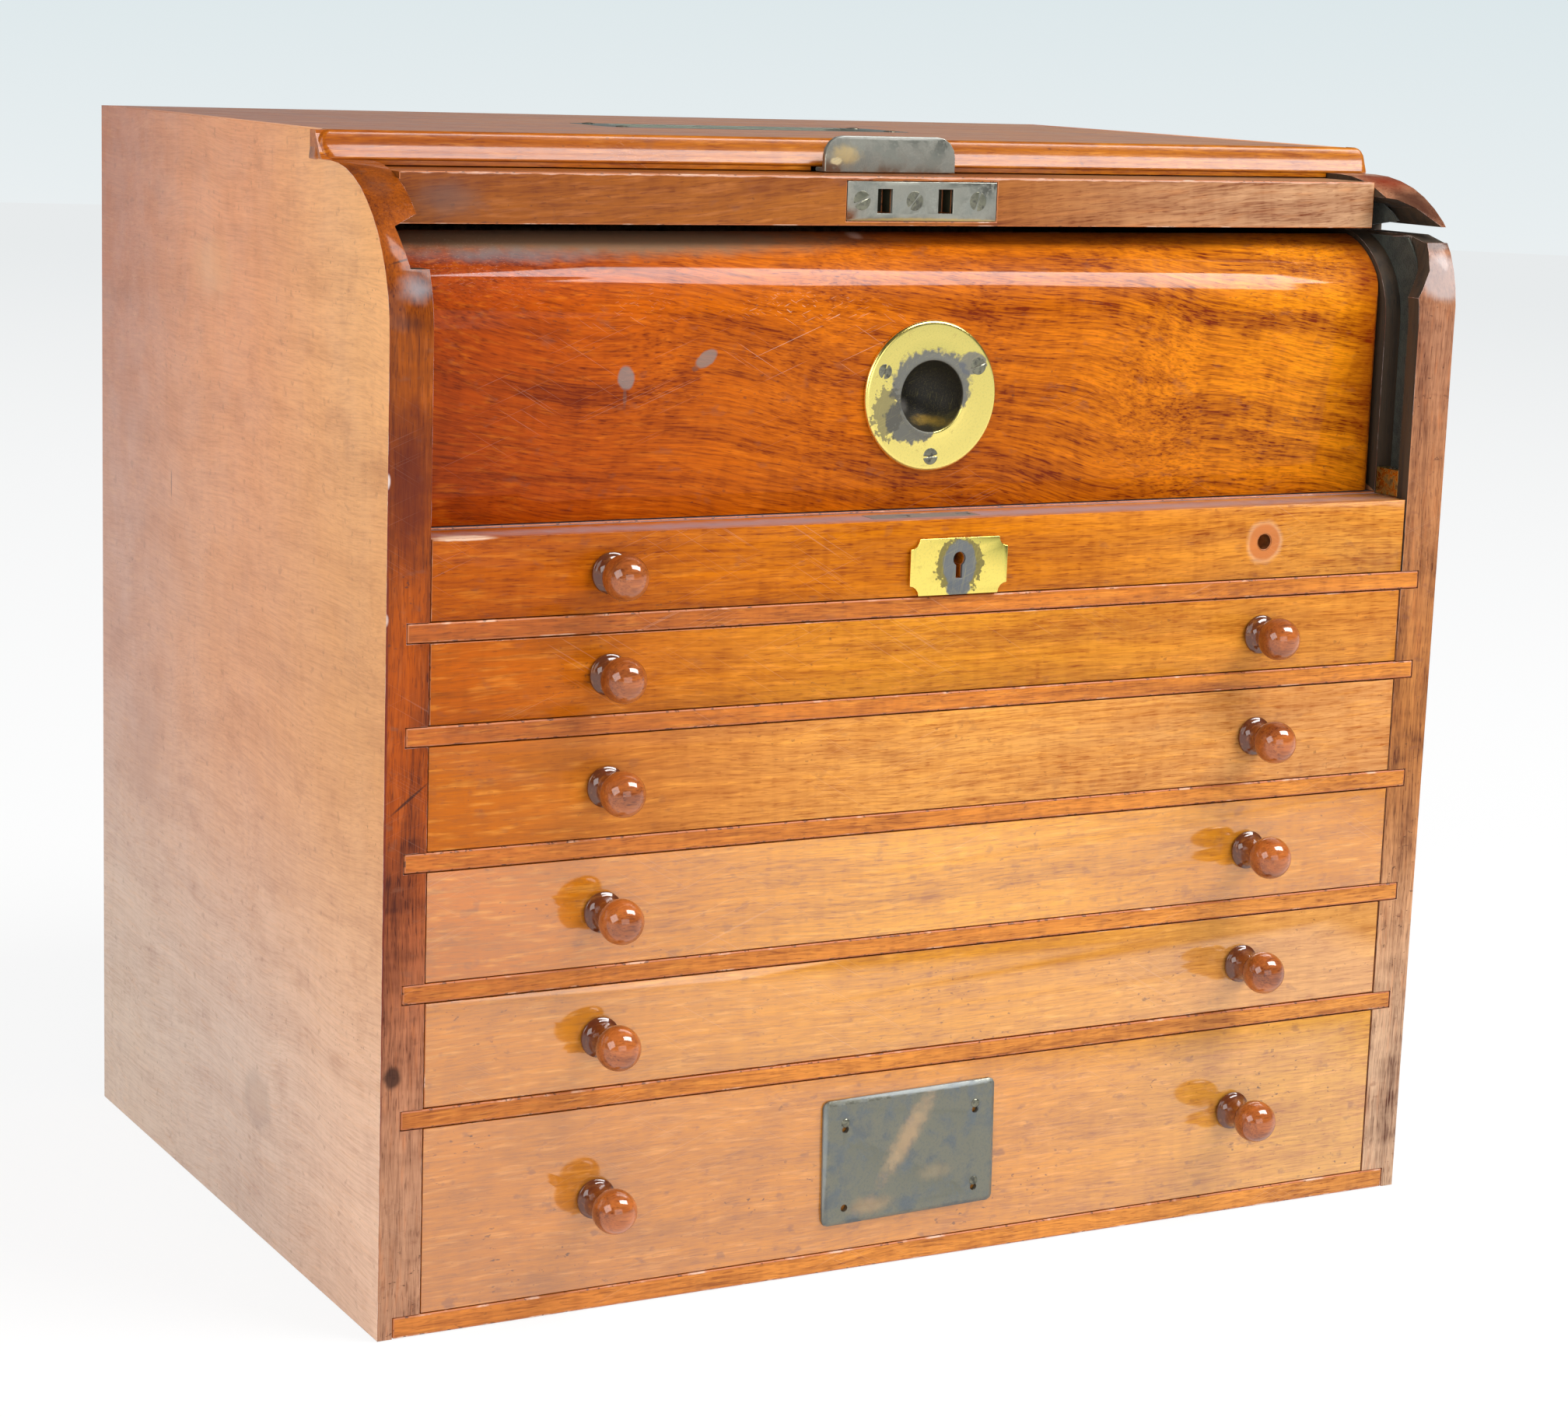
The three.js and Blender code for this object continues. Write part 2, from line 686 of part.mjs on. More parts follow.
// Name plate
function namePlate() {
  const [w, h] = [plateWidth / 2, plateHeight / 2];
  const flat = roundedRect(plateWidth - plateBevel * 2, plateHeight - plateBevel * 2, plateBevel / 2);
  const bevel = { bevelThickness: plateThick / 2, bevelSize: plateBevel, bevelSegments: 1 };
  const lid = new THREE.ExtrudeGeometry(flat, { depth: seat + plateThick / 2, curveSegments: 1, ...bevel });
  const body = solid(lid.applyMatrix4(forwards)).intersect(block(-w, w, -plateThick * 2, -seat, -h, h));
  const corners = [[-1, -1], [-1, 1], [1, -1], [1, 1]];
  const holes = corners.map(([i, j]) => {
    const [x, z] = [i * plateHolesAcross / 2, j * plateHolesUp / 2 - plateDrop];
    return rod(plateHoleRadius, x, -plateThick * 2, overrun, z);
  });
  const plate = mesh("name_plate", cut(body, ...holes), bronze);
  plate.position.set(plateCentre, frontInset, plateRise);
  plate.rotation.y = -plateTurn;
  return plate;
}

// Deep drawer
// Its face carries the same centre of curvature as the case's corner, so that the roll front clears it.
function deepDrawer() {
  const group = new THREE.Group();
  const half = halfInside - runClear;
  const shape = new THREE.Shape();
  shape.moveTo(deepFace, deepFloor);
  shape.lineTo(deepBack, deepFloor);
  const angle = Math.acos((deepBack - centreY) / deepArc);
  shape.absarc(centreY, centreZ, deepArc, angle, Math.PI);
  const plan = roundedRect(half * 2, deepFrontThick * 2, deepEdgeRadius, 0, deepBack);
  const rounded = slab(plan, deepFloor - overrun, deepHead + overrun);
  const holeRadius = bowlRadius + bowlWall + seat;
  const hole = rod(holeRadius, 0, deepFace - overrun, deepBack + overrun, pullZ, plateSteps);
  const front = cut(beam(shape, -half, half).intersect(rounded), hole);
  const trayTop = deepHead - deepTrayHeadroom;
  const wide = half - seat;
  const [start, end] = [deepBack + seat, boardEnd - deepTrayBackRoom];
  const walls = tray(wide, start, end, deepFloor, trayTop);
  const bottom = block(-wide, wide, start, end, deepFloor, deepFloor + trayFloor);
  const slot = block(-half, half, start - seat, end + seat, deepFloor - seat, deepFloor + trayFloor + seat);
  group.add(mesh("deep_front", front, frontMahogany));
  group.add(mesh("deep_tray", cut(walls, slot), plainWood));
  group.add(mesh("deep_tray_floor", bottom, plainWood));
  const pull = mesh("finger_pull", surface(solid(turned(pullProfile(), plateSteps))), brightBrass);
  pull.position.set(0, deepFace - seat, pullZ);
  group.add(pull);
  return group;
}

// A round plate with a bowl let in, closed on itself.
function pullProfile() {
  const inner = [];
  const outer = [];
  for (let step = 0; step <= arcSteps; step += 1) {
    const angle = (Math.PI / 2) * step / arcSteps;
    inner.push([bowlRadius * Math.sin(angle), pullThick - (bowlDepth + pullThick) * Math.cos(angle)]);
    const wide = bowlRadius + bowlWall;
    outer.push([wide * Math.sin(angle), -(bowlDepth + bowlWall) * Math.cos(angle)]);
  }
  return [...outer, [pullRadius, 0], [pullRadius, pullThick], ...inner.reverse()];
}

// Carrying handle
// A pan with a flange all round, and a bail whose ends turn in holes in the pan's end walls.
function carryingHandle() {
  const group = new THREE.Group();
  const bailZ = panFloor + panWall + bailRadius + play;
  const [y, length] = [handleSetback, panLength / 2];
  const flange = roundedRect(handleLength, handleWidth, handleCorner, 0, y);
  const wall = roundedRect(panLength, panWidth, seat, 0, y);
  const room = roundedRect(panLength - panWall * 2, panWidth - panWall * 2, seat, 0, y);
  const pivotY = y - bailSetback;
  const pins = new THREE.CylinderGeometry(bailRadius + play, bailRadius + play, panLength, bailSides);
  const pinHoles = solid(pins.rotateZ(Math.PI / 2).translate(0, pivotY, bailZ));
  const pan = cut(
    join(slab(flange, caseHeight - handleFlange, caseHeight), slab(wall, panFloor, caseHeight)),
    slab(room, panFloor + panWall, caseHeight + overrun), pinHoles);
  group.add(mesh("handle_pan", pan, darkBrass));
  const bail = mesh("handle_bail", surface(solid(bailRod(length - seat))), darkBrass);
  bail.position.set(0, pivotY, bailZ);
  group.add(bail);
  return group;
}

// A bail seen from above: two pins, two legs and a grip, with rounded bends.
function bailRod(tip) {
  const leg = tip + seat - panWall - bailBend;
  const corners = [[-tip, 0], [-leg, 0], [-leg, bailReach], [leg, bailReach], [leg, 0], [tip, 0]];
  const points = corners.map(([u, v]) => new THREE.Vector3(u, v, 0));
  const path = new THREE.CurvePath();
  let start = points[0];
  for (let index = 1; index < points.length - 1; index += 1) {
    const corner = points[index];
    const before = corner.clone().add(start.clone().sub(corner).setLength(bailBend));
    const after = corner.clone().add(points[index + 1].clone().sub(corner).setLength(bailBend));
    path.add(new THREE.LineCurve3(start, before));
    path.add(new THREE.QuadraticBezierCurve3(before, corner, after));
    start = after;
  }
  path.add(new THREE.LineCurve3(start, points[points.length - 1]));
  const ring = new THREE.Shape().absarc(0, 0, bailRadius, 0, Math.PI * 2);
  const options = { steps: bailSteps, extrudePath: path, curveSegments: bailSides / 2, bevelEnabled: false };
  return new THREE.ExtrudeGeometry(ring, options);
}

const cabinet = new THREE.Group();
cabinet.position.y = -caseDepth / 2;
cabinet.add(carcass(), rollFront(), deepDrawer(), carryingHandle());
for (let row = 0; row < rows; row += 1) cabinet.add(thinDrawer(row));

export default cabinet;
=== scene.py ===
"""The looks of a table-top haberdashery cabinet: worn French-polished mahogany, brass and bronze.

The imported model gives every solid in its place. This script gives the wooden boards soft worn arrises,
turns the knobs and the finger pull finely, adds the screws, pins and canvas, and dresses every piece
in a finish worked out from nodes. Lengths are in millimetres until a mesh is made.
"""

import logging
import math
from dataclasses import dataclass
from enum import Enum

import bmesh
import bpy
import numpy as np
from mathutils import Matrix, Vector

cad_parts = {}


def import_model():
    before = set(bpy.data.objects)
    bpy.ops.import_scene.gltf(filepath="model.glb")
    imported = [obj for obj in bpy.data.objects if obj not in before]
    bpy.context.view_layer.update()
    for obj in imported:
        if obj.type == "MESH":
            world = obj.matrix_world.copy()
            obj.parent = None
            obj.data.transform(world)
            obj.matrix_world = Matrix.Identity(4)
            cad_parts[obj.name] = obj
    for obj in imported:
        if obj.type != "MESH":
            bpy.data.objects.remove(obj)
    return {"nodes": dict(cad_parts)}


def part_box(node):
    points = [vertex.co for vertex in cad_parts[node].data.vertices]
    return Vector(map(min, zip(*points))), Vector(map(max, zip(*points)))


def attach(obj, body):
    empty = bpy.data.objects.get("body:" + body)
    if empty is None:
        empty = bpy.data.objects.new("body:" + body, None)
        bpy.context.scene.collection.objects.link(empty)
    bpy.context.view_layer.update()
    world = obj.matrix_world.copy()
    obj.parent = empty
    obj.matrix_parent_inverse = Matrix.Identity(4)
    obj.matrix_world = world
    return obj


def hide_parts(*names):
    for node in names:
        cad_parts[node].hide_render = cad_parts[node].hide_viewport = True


LOG = logging.getLogger("cabinet")
MM = 0.001
CASE_DEPTH = 284.0
FRONT = -CASE_DEPTH / 2
CORNER_RADIUS = 50.8
CORNER_CENTRE_Y = FRONT + CORNER_RADIUS
CORNER_CENTRE_Z = 320.7
TOP_FACE = 380.5


class Axis(Enum):
    """A direction of the frame, as an index into a point."""

    X = 0
    Y = 1
    Z = 2


def linear(code: str) -> tuple[float, float, float, float]:
    """Turns an sRGB hex colour into linear light.

    Args:
        code: A colour such as "#a4501c".

    Returns:
        Red, green, blue and alpha from 0 to 1.
    """
    parts = [int(code[i : i + 2], 16) / 255 for i in (1, 3, 5)]
    light = [c / 12.92 if c <= 0.04045 else ((c + 0.055) / 1.055) ** 2.4 for c in parts]
    return (*light, 1.0)


def feed(tree: bpy.types.NodeTree, node: bpy.types.Node, inputs: dict) -> None:
    """Sets a node's sockets.

    Args:
        tree: The node tree.
        node: The node.
        inputs: Socket name or index to a value, or to the output that feeds it.
    """
    for socket, value in inputs.items():
        if isinstance(value, bpy.types.NodeSocket):
            tree.links.new(value, node.inputs[socket])
        else:
            node.inputs[socket].default_value = value


def add_node(tree: bpy.types.NodeTree, kind: str, inputs: dict, output: int | str = 0,
             **settings) -> bpy.types.NodeSocket:
    """Adds a node with its settings, its socket values and its links.

    Args:
        tree: The node tree.
        kind: The node's type, without the prefix that all share.
        inputs: Socket name or index to a value, or to the output that feeds it.
        output: Name or index of the output that is wanted.
        settings: The node's own properties.

    Returns:
        The wanted output. Its node attribute is the new node.
    """
    node = tree.nodes.new(f"ShaderNode{kind}")
    for name, value in settings.items():
        setattr(node, name, value)
    feed(tree, node, inputs)
    return node.outputs[output]


@dataclass(frozen=True)
class ColourPatch:
    """A patch of another colour on a surface.

    Attributes:
        centre: Middle in millimetres, in the frame.
        radii: Half sizes in millimetres.
        colour: Its sRGB hex colour.
        strength: How far it covers, from 0 to 1.
        edge: Share of the radius over which it fades.
        ragged: How uneven its edge is.
        turn: Its turn about y in degrees.
    """

    centre: tuple[float, float, float]
    radii: tuple[float, float, float]
    colour: str
    strength: float = 0.6
    edge: float = 0.6
    ragged: float = 0.3
    turn: float = 0.0


@dataclass
class Weave:
    """The patterns of one material, all drawn from its Object coordinates in metres.

    Attributes:
        tree: The material's node tree.
        coords: The output that gives the coordinates.
    """

    tree: bpy.types.NodeTree
    coords: bpy.types.NodeSocket

    def add(self, kind: str, inputs: dict, output: int | str = 0, **settings) -> bpy.types.NodeSocket:
        """Adds a node to the material and gives one of its outputs."""
        return add_node(self.tree, kind, inputs, output, **settings)

    def fibre(self, size: tuple[float, float, float], low: float, high: float, detail: float = 2.0,
              seed: float = 0.0, warp: float = 0.0) -> bpy.types.NodeSocket:
        """A noise whose grains measure size in millimetres, cut to 0 below low and 1 above high.

        Args:
            size: Length of a grain along x, y and z.
            low: Noise value that becomes 0.
            high: Noise value that becomes 1.
            detail: Octaves of finer noise.
            seed: Moves the pattern, so that boards differ.
            warp: How far the noise bends itself.

        Returns:
            The mask's output.
        """
        scale = tuple(1 / (length * MM) for length in size)
        place = self.add("Mapping", {"Vector": self.coords, "Scale": scale,
                                     "Location": (seed, seed * 1.7, seed * 0.6)})
        noise = self.add("TexNoise", {"Vector": place, "Scale": 1.0, "Detail": detail, "Distortion": warp})
        return self.add("MapRange", {"Value": noise, "From Min": low, "From Max": high},
                        interpolation_type="SMOOTHSTEP")

    def along(self, axis: Axis, low: float, high: float) -> bpy.types.NodeSocket:
        """A smooth step along one axis, from 0 at low to 1 at high, in millimetres."""
        place = self.add("SeparateXYZ", {0: self.coords}, axis.value)
        return self.add("MapRange", {"Value": place, "From Min": low * MM, "From Max": high * MM},
                        interpolation_type="SMOOTHSTEP")

    def summed(self, *layers: tuple[object, float], base: object = 0.0) -> bpy.types.NodeSocket:
        """Adds masks to a base, each times its share, and keeps each sum between 0 and 1.

        Args:
            layers: A mask and its share, for each layer.
            base: The value or output to start from.

        Returns:
            The sum's output.
        """
        for mask, share in layers:
            base = self.add("Math", {0: mask, 1: share, 2: base}, operation="MULTIPLY_ADD", use_clamp=True)
        return base

    def painted(self, under: object, *coats: tuple[object, float, object]) -> bpy.types.NodeSocket:
        """Lays colours over one another.

        Args:
            under: The lowest colour, or its output.
            coats: A mask, its strength and a hex colour or its output, for each coat.

        Returns:
            The colour's output.
        """
        for mask, strength, colour in coats:
            over = linear(colour) if isinstance(colour, str) else colour
            amount = self.add("Math", {0: mask, 1: strength}, operation="MULTIPLY", use_clamp=True)
            under = self.add("Mix", {0: amount, 6: under, 7: over}, 2, data_type="RGBA")
        return under

    def turned(self, euler: tuple[float, float, float]) -> "Weave":
        """The same patterns in coordinates turned by angles in degrees."""
        angles = tuple(math.radians(a) for a in euler)
        return Weave(self.tree, self.add("Mapping", {"Vector": self.coords, "Rotation": angles}))

    def bent(self, size: float, reach: float) -> "Weave":
        """The same patterns in coordinates that wander.

        Args:
            size: Distance in millimetres over which they wander.
            reach: How far they go, in millimetres.

        Returns:
            The patterns on the bent coordinates.
        """
        drift = self.add("TexNoise", {"Vector": self.coords, "Scale": 1 / (size * MM), "Detail": 1.0},
                         "Color")
        centred = self.add("VectorMath", {0: drift, 1: (0.5, 0.5, 0.5)}, operation="SUBTRACT")
        moved = self.add("VectorMath", {0: centred, 1: (2 * reach * MM,) * 3, 2: self.coords},
                         operation="MULTIPLY_ADD")
        return Weave(self.tree, moved)

    def scratched(self, length: float, width: float, angles: tuple[float, ...], seed: float = 0.0,
                  cut: float = 0.70) -> bpy.types.NodeSocket:
        """Straight scratches that run at several angles.

        Args:
            length: Length of a scratch in millimetres.
            width: Width of the noise's grain in millimetres.
            angles: Turns about y in degrees, so that they run true on a front.
            seed: Moves the pattern.
            cut: Noise value above which a scratch shows. A higher one leaves fewer.

        Returns:
            The mask's output.
        """
        mask = 0.0
        for number, angle in enumerate(angles):
            turned = self.turned((0, angle, 0))
            line = turned.fibre((length, width, width), cut, cut + 0.035, 0.0, seed + 11 * number)
            mask = self.add("Math", {0: mask, 1: line}, operation="MAXIMUM", use_clamp=True)
        return mask

    def blob(self, colour_patch: ColourPatch, grain: float = 6.0) -> bpy.types.NodeSocket:
        """A patch with a ragged edge: 1 inside an ellipsoid, fading to 0 past its edge.

        Args:
            colour_patch: The patch.
            grain: Size of the ragged steps in millimetres.

        Returns:
            The mask's output, times the patch's strength.
        """
        local = self.add("Mapping", {
            "Vector": self.coords, "Scale": tuple(r * MM for r in colour_patch.radii),
            "Location": tuple(c * MM for c in colour_patch.centre), "Rotation": (0, math.radians(colour_patch.turn), 0)},
            vector_type="TEXTURE")
        length = self.add("VectorMath", {0: local}, "Value", operation="LENGTH")
        noise = self.add("TexNoise", {"Vector": self.coords, "Scale": 1 / (grain * MM), "Detail": 3.0})
        rough = self.add("Math", {0: noise, 1: 2 * colour_patch.ragged, 2: length}, operation="MULTIPLY_ADD")
        outside = 1 + colour_patch.ragged
        mask = self.add("MapRange", {"Value": rough, "From Min": outside, "From Max": outside - colour_patch.edge},
                        interpolation_type="SMOOTHSTEP")
        return self.add("Math", {0: mask, 1: colour_patch.strength}, operation="MULTIPLY", use_clamp=True)


def start_material(name: str) -> tuple[bpy.types.Material, bpy.types.Node, Weave]:
    """Makes an empty node material.

    Args:
        name: The material's name.

    Returns:
        The material, its shader, and the patterns on its Object coordinates.
    """
    material = bpy.data.materials.new(name)
    material.use_nodes = True
    tree = material.node_tree
    return material, tree.nodes["Principled BSDF"], Weave(tree, add_node(tree, "TexCoord", {}, "Object"))


@dataclass(frozen=True)
class FrenchPolishedMahogany:
    """Old Cuban mahogany under rubbed shellac: warm red-brown that glows, with short dark pores, ribbon
    figure, hairline scratches and a thin glossy coat that is worn duller in places.

    Attributes:
        name: The material's name.
        tones: Rows of colours from the lowest to the highest. Each row has the colour at the low end, the
            middle and the high end of the tone axis. On the drawer fronts the rows also paint haze, the pale
            table's reflection in the polish.
        tone_axis: The axis along which the colour changes.
        tone_span: Where it starts and ends, in millimetres.
        tone_rise: Heights of the lowest and the highest row, in millimetres.
        turn: Angles in degrees that lay the grain, which runs along x, on the board.
        seed: Moves every pattern.
        deep: Colour of the dark figure and pores.
        glow: Colour of the fibres that catch the light.
        figure: Strength of the grain.
        ribbon: Strength of the broad ribbons.
        wave: How far the grain wanders, in millimetres.
        pores: Strength of the pores.
        grime: Strength of the dark smears and dents.
        scratches: Strength of the pale scratches.
        coat: Weight of the glossy coat.
        coat_foot: Share of the coat that is left on the lower part.
        coat_rise: Heights between which the coat grows to its whole weight, in millimetres.
        gloss: Roughness of the coat.
        shine: Index of refraction of the coat. A higher one mirrors the pale table more.
        stains_and_painted_light: Patches of other colours, real marks and also painted highlights,
            reflections and shade.
        rubbed: Patches where the scratches lie close together.
    """

    name: str
    tones: tuple[tuple[str, str, str], ...]
    tone_axis: Axis = Axis.X
    tone_span: tuple[float, float] = (-190.0, 190.0)
    tone_rise: tuple[float, float] = (0.0, 380.0)
    turn: tuple[float, float, float] = (0.0, 0.0, 0.0)
    seed: float = 0.0
    deep: str = "#7a3408"
    glow: str = "#f0a040"
    figure: float = 1.0
    ribbon: float = 0.25
    wave: float = 3.0
    pores: float = 0.5
    grime: float = 0.5
    scratches: float = 0.1
    coat: float = 0.5
    coat_foot: float = 1.0
    coat_rise: tuple[float, float] = (0.0, 1.0)
    gloss: float = 0.12
    shine: float = 1.5
    stains_and_painted_light: tuple[ColourPatch, ...] = ()
    rubbed: tuple[ColourPatch, ...] = ()

    def tone(self, plain: Weave) -> bpy.types.NodeSocket:
        """The slow change of colour: steps between three colours along an axis, then between rows. Besides
        the wood's own tone, on the fronts it paints haze that makes them paler away from their left ends.

        Args:
            plain: The material's patterns.

        Returns:
            The colour's output.
        """
        low, high = self.tone_span
        middle = (low + high) / 2
        first, second = plain.along(self.tone_axis, low, middle), plain.along(self.tone_axis, middle, high)
        foot, head = self.tone_rise
        step = (head - foot) / max(len(self.tones) - 1, 1)
        colour = None
        for number, (left, centre, right) in enumerate(self.tones):
            row = plain.painted(linear(left), (first, 1.0, centre), (second, 1.0, right))
            place = foot + step * number
            rising = (plain.along(Axis.Z, place - step, place), 1.0, row)
            colour = row if colour is None else plain.painted(colour, rising)
        return colour

    def scratch_mask(self, plain: Weave) -> bpy.types.NodeSocket:
        """Straight scratches 50 mm long, drawn 0.32 mm wide so that they show, where the wood was rubbed.

        Args:
            plain: The material's patterns.

        Returns:
            The mask's output.
        """
        home = plain.fibre((60, 60, 60), 0.50, 0.62, 1.0, self.seed + 40)
        for patch in self.rubbed:
            faint = plain.add("Math", {0: home, 1: 0.25}, operation="MULTIPLY", use_clamp=True)
            home = plain.add("Math", {0: faint, 1: plain.blob(patch)}, operation="MAXIMUM", use_clamp=True)
        lines = plain.scratched(50, 0.32, (-31, 22), self.seed, 0.745)
        return plain.add("Math", {0: lines, 1: home}, operation="MULTIPLY", use_clamp=True)

    def make(self) -> bpy.types.Material:
        """Builds the node material.

        Returns:
            The material, from broad figure to pores, marks, coloured patches with painted light among them,
            and gloss.
        """
        material, shader, plain = start_material(self.name)
        wood = plain.bent(90, self.wave).turned(self.turn)
        # Ribbons 110 mm long and 11 mm wide, streaks 26 mm by 1.1 mm, flecks 8 mm by 0.5 mm, and bright
        # fibres 14 mm by 0.8 mm
        ribbon = wood.fibre((110, 11, 11), 0.38, 0.68, 3.0, self.seed, 0.3)
        streak = wood.fibre((26, 1.1, 1.1), 0.36, 0.70, 2.0, self.seed + 5)
        fleck = wood.fibre((8, 0.5, 0.5), 0.44, 0.70, 1.0, self.seed + 2)
        bright = wood.fibre((14, 0.8, 1.6), 0.50, 0.74, 2.0, self.seed + 20)
        # Mottle across the grain, 4 mm wide, where the fibres dip
        mottle = wood.fibre((4, 16, 16), 0.40, 0.70, 2.0, self.seed + 9)
        # Pores 4 mm long, drawn 0.4 mm wide so that they show, and smears 26 mm wide
        pore = wood.fibre((4, 0.4, 0.4), 0.63, 0.72, 0.0, self.seed + 3)
        smear = plain.fibre((26, 26, 16), 0.52, 0.78, 4.0, self.seed + 12)
        dark = plain.summed((ribbon, self.ribbon), (streak, self.figure * 0.30),
                            (fleck, self.figure * 0.28), (mottle, self.figure * 0.12),
                            (pore, self.pores * 0.5), (smear, self.grime * 0.35))
        # Dents about 2 mm long and softer bruises about 6 mm long, in loose groups
        bruise = plain.fibre((7, 5, 4), 0.61, 0.74, 3.0, self.seed + 33)
        group = plain.fibre((40, 40, 30), 0.44, 0.66, 1.0, self.seed + 31)
        dent = plain.fibre((2.6, 1.6, 1.4), 0.66, 0.73, 2.0, self.seed + 30)
        dent = plain.add("Math", {0: dent, 1: group}, operation="MULTIPLY", use_clamp=True)
        scratch = self.scratch_mask(plain)
        colour = plain.painted(
            self.tone(plain), (bright, self.figure * 0.35, self.glow), (dark, 1.0, self.deep),
            (bruise, self.grime * 0.5, "#7a4a34"), (dent, self.grime * 0.8, "#4e2e22"),
            *((plain.blob(colour_patch), 1.0, colour_patch.colour) for colour_patch in self.stains_and_painted_light),
            (scratch, self.scratches, "#e2bfa6"))
        relief = plain.summed((pore, -0.5), (dent, -0.6), (scratch, -0.2), base=0.9)
        coat = self.coat
        if self.coat_foot < 1:
            height = plain.add("SeparateXYZ", {0: plain.coords}, "Z")
            coat = plain.add("MapRange", {"Value": height, "From Min": self.coat_rise[0] * MM,
                                          "From Max": self.coat_rise[1] * MM,
                                          "To Min": self.coat * self.coat_foot, "To Max": self.coat})
        feed(plain.tree, shader, {
            "Base Color": colour,
            "Roughness": plain.summed((plain.fibre((18, 18, 18), 0.3, 0.75, 4.0, self.seed), 0.2), base=0.36),
            "Normal": plain.add("Bump", {"Height": relief, "Distance": 0.00012, "Strength": 0.35}),
            "IOR": 1.5, "Specular IOR Level": 0.06,
            "Coat Weight": coat, "Coat Roughness": self.gloss, "Coat IOR": self.shine})
        return material


@dataclass(frozen=True)
class ArrisWearAndHighlight:
    """The rubbed edge of a polished board: the coat is gone, and bare wood, grey wax and dark dirt change
    every few millimetres, which gives the broken pale line along each edge. The pale patches also paint the
    highlight that a rounded arris catches, palest on the stile.

    Attributes:
        name: The material's name.
        wood: Colour of the rubbed wood.
        pale: Colour of bruises and wax, and of the painted highlight.
        dark: Colour of the dirt.
        paleness: Share of the edge that is pale, from 0 to 1.
        seed: Moves the pattern.
    """

    name: str
    wood: str
    pale: str
    dark: str
    paleness: float
    seed: float = 0.0

    def make(self) -> bpy.types.Material:
        """Builds the node material.

        Returns:
            The material, with patches about 9 mm long and nicks about 2 mm long.
        """
        material, shader, plain = start_material(self.name)
        cut = 0.62 - 0.22 * self.paleness
        patch = plain.fibre((9, 9, 9), cut, cut + 0.12, 3.0, self.seed)
        nick = plain.fibre((2.0, 2.0, 2.0), 0.58, 0.66, 2.0, self.seed + 4)
        feed(plain.tree, shader, {
            "Base Color": plain.painted(linear(self.wood), (patch, 0.8, self.pale), (nick, 0.75, self.dark)),
            "Normal": plain.add("Bump", {"Height": nick, "Distance": 0.0003, "Strength": 0.5}, invert=True),
            "Roughness": 0.4, "IOR": 1.5, "Coat Weight": 0.2, "Coat Roughness": 0.3})
        return material


@dataclass(frozen=True)
class BareWood:
    """Planed, unpolished wood inside the case: dry, matt and paler, with open pores and dust.

    Attributes:
        name: The material's name.
        base: Colour of the wood.
        dark: Colour of its grain.
        turn: Angles in degrees that lay the grain on the board.
        seed: Moves the pattern.
    """

    name: str
    base: str
    dark: str
    turn: tuple[float, float, float] = (0.0, 0.0, 0.0)
    seed: float = 0.0

    def make(self) -> bpy.types.Material:
        """Builds the node material.

        Returns:
            The material, with streaks 80 mm long and 3 mm wide and pores 6 mm long.
        """
        material, shader, plain = start_material(self.name)
        wood = plain.turned(self.turn)
        streak = wood.fibre((80, 3, 3), 0.40, 0.66, 4.0, self.seed)
        pore = wood.fibre((6, 0.5, 0.5), 0.60, 0.70, 1.0, self.seed + 2)
        dirt = plain.fibre((40, 40, 40), 0.50, 0.75, 4.0, self.seed + 8)
        dark = plain.summed((streak, 0.5), (pore, 0.4), (dirt, 0.4))
        feed(plain.tree, shader, {
            "Base Color": plain.painted(linear(self.base), (dark, 1.0, self.dark)),
            "Normal": plain.add("Bump", {"Height": pore, "Distance": 0.0002, "Strength": 0.5}, invert=True),
            "Roughness": 0.7})
        return material


@dataclass(frozen=True)
class Cloth:
    """Woven or felted cloth glued in place: baize in the grooves and canvas behind the slats.

    Attributes:
        name: The material's name.
        base: Colour of the cloth.
        dark: Colour between its threads and of its dirt.
        thread: Spacing of the threads in millimetres.
    """

    name: str
    base: str
    dark: str
    thread: float

    def make(self) -> bpy.types.Material:
        """Builds the node material.

        Returns:
            The material, with two crossing sets of threads and rubbed patches.
        """
        material, shader, plain = start_material(self.name)
        warp = plain.fibre((self.thread, self.thread * 8, self.thread * 8), 0.42, 0.58, 0.0)
        weft = plain.fibre((self.thread * 8, self.thread, self.thread), 0.42, 0.58, 0.0, 4.0)
        rub = plain.fibre((16, 16, 16), 0.45, 0.7, 4.0, 2.0)
        dark = plain.summed((weft, 0.35), (warp, 0.35), (rub, 0.3))
        feed(plain.tree, shader, {
            "Base Color": plain.painted(linear(self.base), (dark, 1.0, self.dark)),
            "Normal": plain.add("Bump", {"Height": dark, "Distance": 0.0002, "Strength": 0.6}),
            "Roughness": 0.95, "Sheen Weight": 0.2})
        return material


